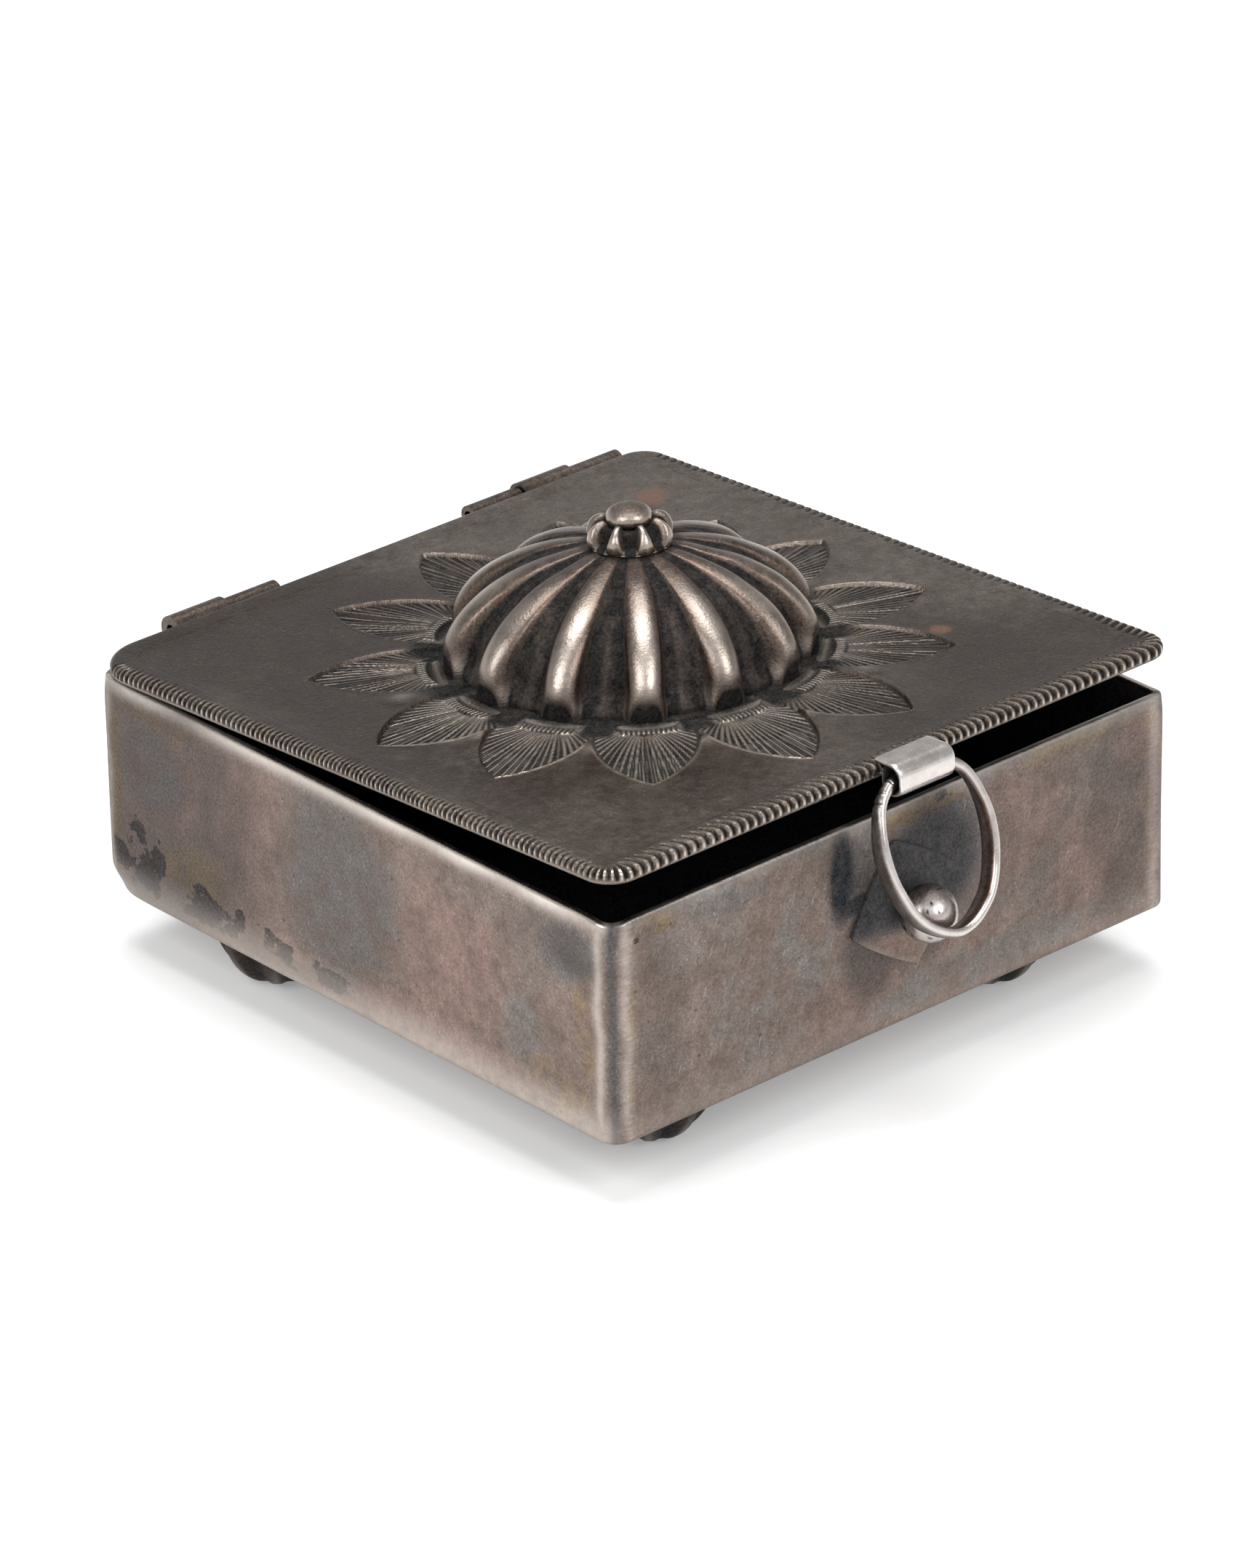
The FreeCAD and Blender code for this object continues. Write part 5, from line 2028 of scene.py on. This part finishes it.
    def build(self) -> None:
        """Place the strap and the ring."""
        wire = WIRE_SILVER.material()
        place_piece("ring_strap_skin", self.strap(), wire, Body.LID, "bright_silver", "ring_strap")
        place_piece("pull_ring_skin", self.ring(), wire, Body.RING, "bright_silver", "pull_ring")


@dataclass
class Hinges:
    """Knuckles and pins, whose solids already have their true shape."""

    nodes: tuple[str, ...] = (
        "box_knuckle_left",
        "box_knuckle_right_inner",
        "box_knuckle_right_outer",
        "hinge_pin_left",
        "hinge_pin_right",
        "lid_knuckle_left",
        "lid_knuckle_right",
    )

    def build(self) -> None:
        """Give every hinge solid its tarnished finish."""
        for node in self.nodes:
            solid = frame["nodes"][node]
            solid.data.materials.clear()
            solid.data.materials.append(LID_SILVER.material())
            log.info("%s: keeps its solid", node)


def bearing(azimuth: float, elevation: float) -> Vector:
    """Unit vector at degrees anticlockwise from the box's front and degrees above level."""
    level, up = math.radians(azimuth), math.radians(elevation)
    return Vector((math.sin(level) * math.cos(up), -math.cos(level) * math.cos(up), math.sin(up)))


@dataclass(frozen=True)
class Softbox:
    """Square soft lamp: its bearing in degrees, distance, side, power, and height of its target."""

    name: str
    azimuth: float
    elevation: float
    distance: float
    side: float
    watts: float
    target_height: float = 20.0

    def build(self) -> None:
        """Make the lamp, turned to face the box."""
        back = bearing(self.azimuth, self.elevation)
        data = bpy.data.lights.new(self.name, "AREA")
        data.shape = "SQUARE"
        data.size = self.side * MM
        data.energy = self.watts
        lamp = bpy.data.objects.new(self.name, data)
        lamp.location = (back * self.distance + Vector((0.0, 0.0, self.target_height))) * MM
        lamp.rotation_mode = "QUATERNION"
        lamp.rotation_quaternion = (-back).to_track_quat("-Z", "Y")
        bpy.context.scene.collection.objects.link(lamp)


@dataclass
class Studio:
    """Pale floor, soft lights and the camera at the photograph's angle."""

    azimuth: float = -41.296
    elevation: float = 26.423
    roll: float = -1.137
    distance: float = 803.17
    target: tuple[float, float, float] = (6.673, 10.579, 12.388)
    lens: float = 192.2
    floor_half: float = 3000.0
    ceiling: str = "#b0b0b0"
    horizon_top: float = 0.30
    front_window: tuple[float, float] = (0.46, 0.90)
    room_strength: float = 0.5
    lamps: tuple[Softbox, ...] = (
        Softbox("overhead", 150.0, 78.0, 800.0, 520.0, 5.0),
        Softbox("left_front", -85.0, 40.0, 750.0, 420.0, 2.2),
        Softbox("right_front", 5.0, 42.0, 750.0, 420.0, 2.2),
    )

    def camera(self) -> None:
        """Make the camera from its direction, distance and roll about the target."""
        back = bearing(self.azimuth, self.elevation)
        level, roll = math.radians(self.azimuth), math.radians(self.roll)
        right = Vector((math.cos(level), math.sin(level), 0.0))
        up = back.cross(right)
        side = right * math.cos(roll) + up * math.sin(roll)
        top = up * math.cos(roll) - right * math.sin(roll)
        data = bpy.data.cameras.new("camera")
        data.lens = self.lens
        data.sensor_width = 36.0
        data.clip_start, data.clip_end = 0.05, 20.0
        camera = bpy.data.objects.new("camera", data)
        turned = Matrix((side, top, back)).transposed().to_4x4()
        place = (Vector(self.target) + back * self.distance) * MM
        camera.matrix_world = Matrix.Translation(place) @ turned
        bpy.context.scene.collection.objects.link(camera)
        bpy.context.scene.camera = camera

    def floor(self) -> None:
        """Pale matt floor that shows white to the eye and in reflections, and keeps shadows."""
        half = self.floor_half * MM
        mesh = bpy.data.meshes.new("floor")
        corners = [(-half, -half, 0), (half, -half, 0), (half, half, 0), (-half, half, 0)]
        mesh.from_pydata(corners, [], [(0, 1, 2, 3)])
        floor = bpy.data.objects.new("floor", mesh)
        bpy.context.scene.collection.objects.link(floor)
        material = bpy.data.materials.new("matt_white_paper")
        material.use_nodes = True
        tree = material.node_tree
        shader = tree.nodes["Principled BSDF"]
        shader.inputs["Base Color"].default_value = linear("#eeeeee")
        shader.inputs["Roughness"].default_value = 0.9
        shader.inputs["Specular IOR Level"].default_value = 0.1
        path = add_node(tree, "LightPath")
        inputs = {0: path.outputs["Is Camera Ray"], 1: path.outputs["Is Glossy Ray"]}
        shown = add_node(tree, "Math", inputs, operation="MAXIMUM")
        lift = add_node(tree, "Math", {0: shown, 1: 0.25}, operation="MULTIPLY")
        shader.inputs["Emission Color"].default_value = linear("#ffffff")
        tree.links.new(lift.outputs[0], shader.inputs["Emission Strength"])
        floor.data.materials.append(material)

    def world(self) -> None:
        """Soft room light.

        To the eye it is white. In reflections the horizon is white, a wide window stands on the
        camera's side, and the ceiling and the far side are grey.
        """
        world = bpy.data.worlds.new("studio")
        bpy.context.scene.world = world
        world.use_nodes = True
        tree = world.node_tree
        background = tree.nodes["Background"]
        direction = add_node(tree, "TexCoord").outputs["Generated"]
        height = add_node(tree, "SeparateXYZ", {0: direction}).outputs["Z"]
        inputs = {0: direction, 1: TO_CAMERA}
        forward = add_node(tree, "VectorMath", inputs, operation="DOT_PRODUCT").outputs["Value"]
        facing = add_node(tree, "MapRange", {0: forward, 1: 0.10, 2: 0.45})
        low, high = self.front_window
        over_low = add_node(tree, "MapRange", {0: height, 1: low - 0.06, 2: low + 0.02})
        under_high = add_node(tree, "MapRange", {0: height, 1: high - 0.04, 2: high + 0.04, 3: 1.0, 4: 0.0})
        window = add_node(tree, "Math", {0: over_low, 1: under_high}, operation="MULTIPLY")
        window = add_node(tree, "Math", {0: window, 1: facing}, operation="MULTIPLY")
        top = self.horizon_top
        horizon = add_node(tree, "MapRange", {0: height, 1: top - 0.12, 2: top, 3: 1.0, 4: 0.0})
        path = add_node(tree, "LightPath")
        bright = add_node(tree, "Math", {0: window, 1: horizon}, operation="MAXIMUM")
        inputs = {0: bright, 1: path.outputs["Is Camera Ray"]}
        white = add_node(tree, "Math", inputs, operation="MAXIMUM")
        inputs = {0: white, UNDER: linear(self.ceiling), OVER: linear("#ffffff")}
        shade = add_node(tree, "Mix", inputs, data_type="RGBA")
        inputs = {0: path.outputs["Is Camera Ray"], 1: path.outputs["Is Glossy Ray"]}
        shown = add_node(tree, "Math", inputs, operation="MAXIMUM")
        inputs = {0: shown, 1: path.outputs["Is Transmission Ray"]}
        shown = add_node(tree, "Math", inputs, operation="MAXIMUM")
        strength = add_node(tree, "MapRange", {0: shown, 3: self.room_strength, 4: 1.0})
        tree.links.new(shade.outputs[2], background.inputs["Color"])
        tree.links.new(strength.outputs[0], background.inputs["Strength"])

    def build(self) -> None:
        """Make the camera, floor, room light and lamps, and keep colours plain."""
        bpy.context.scene.view_settings.view_transform = "Standard"
        self.camera()
        self.floor()
        self.world()
        for lamp in self.lamps:
            lamp.build()


def main() -> None:
    """Build the studio and the box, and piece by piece."""
    logging.basicConfig(level=logging.INFO, format="%(message)s")
    Studio().build()
    BoxBody().build()
    Stud().build()
    lid = Lid()
    lid.build()
    Finial(lid).build()
    Pull(lid).build()
    Hinges().build()


if __name__ == "__main__":
    main()
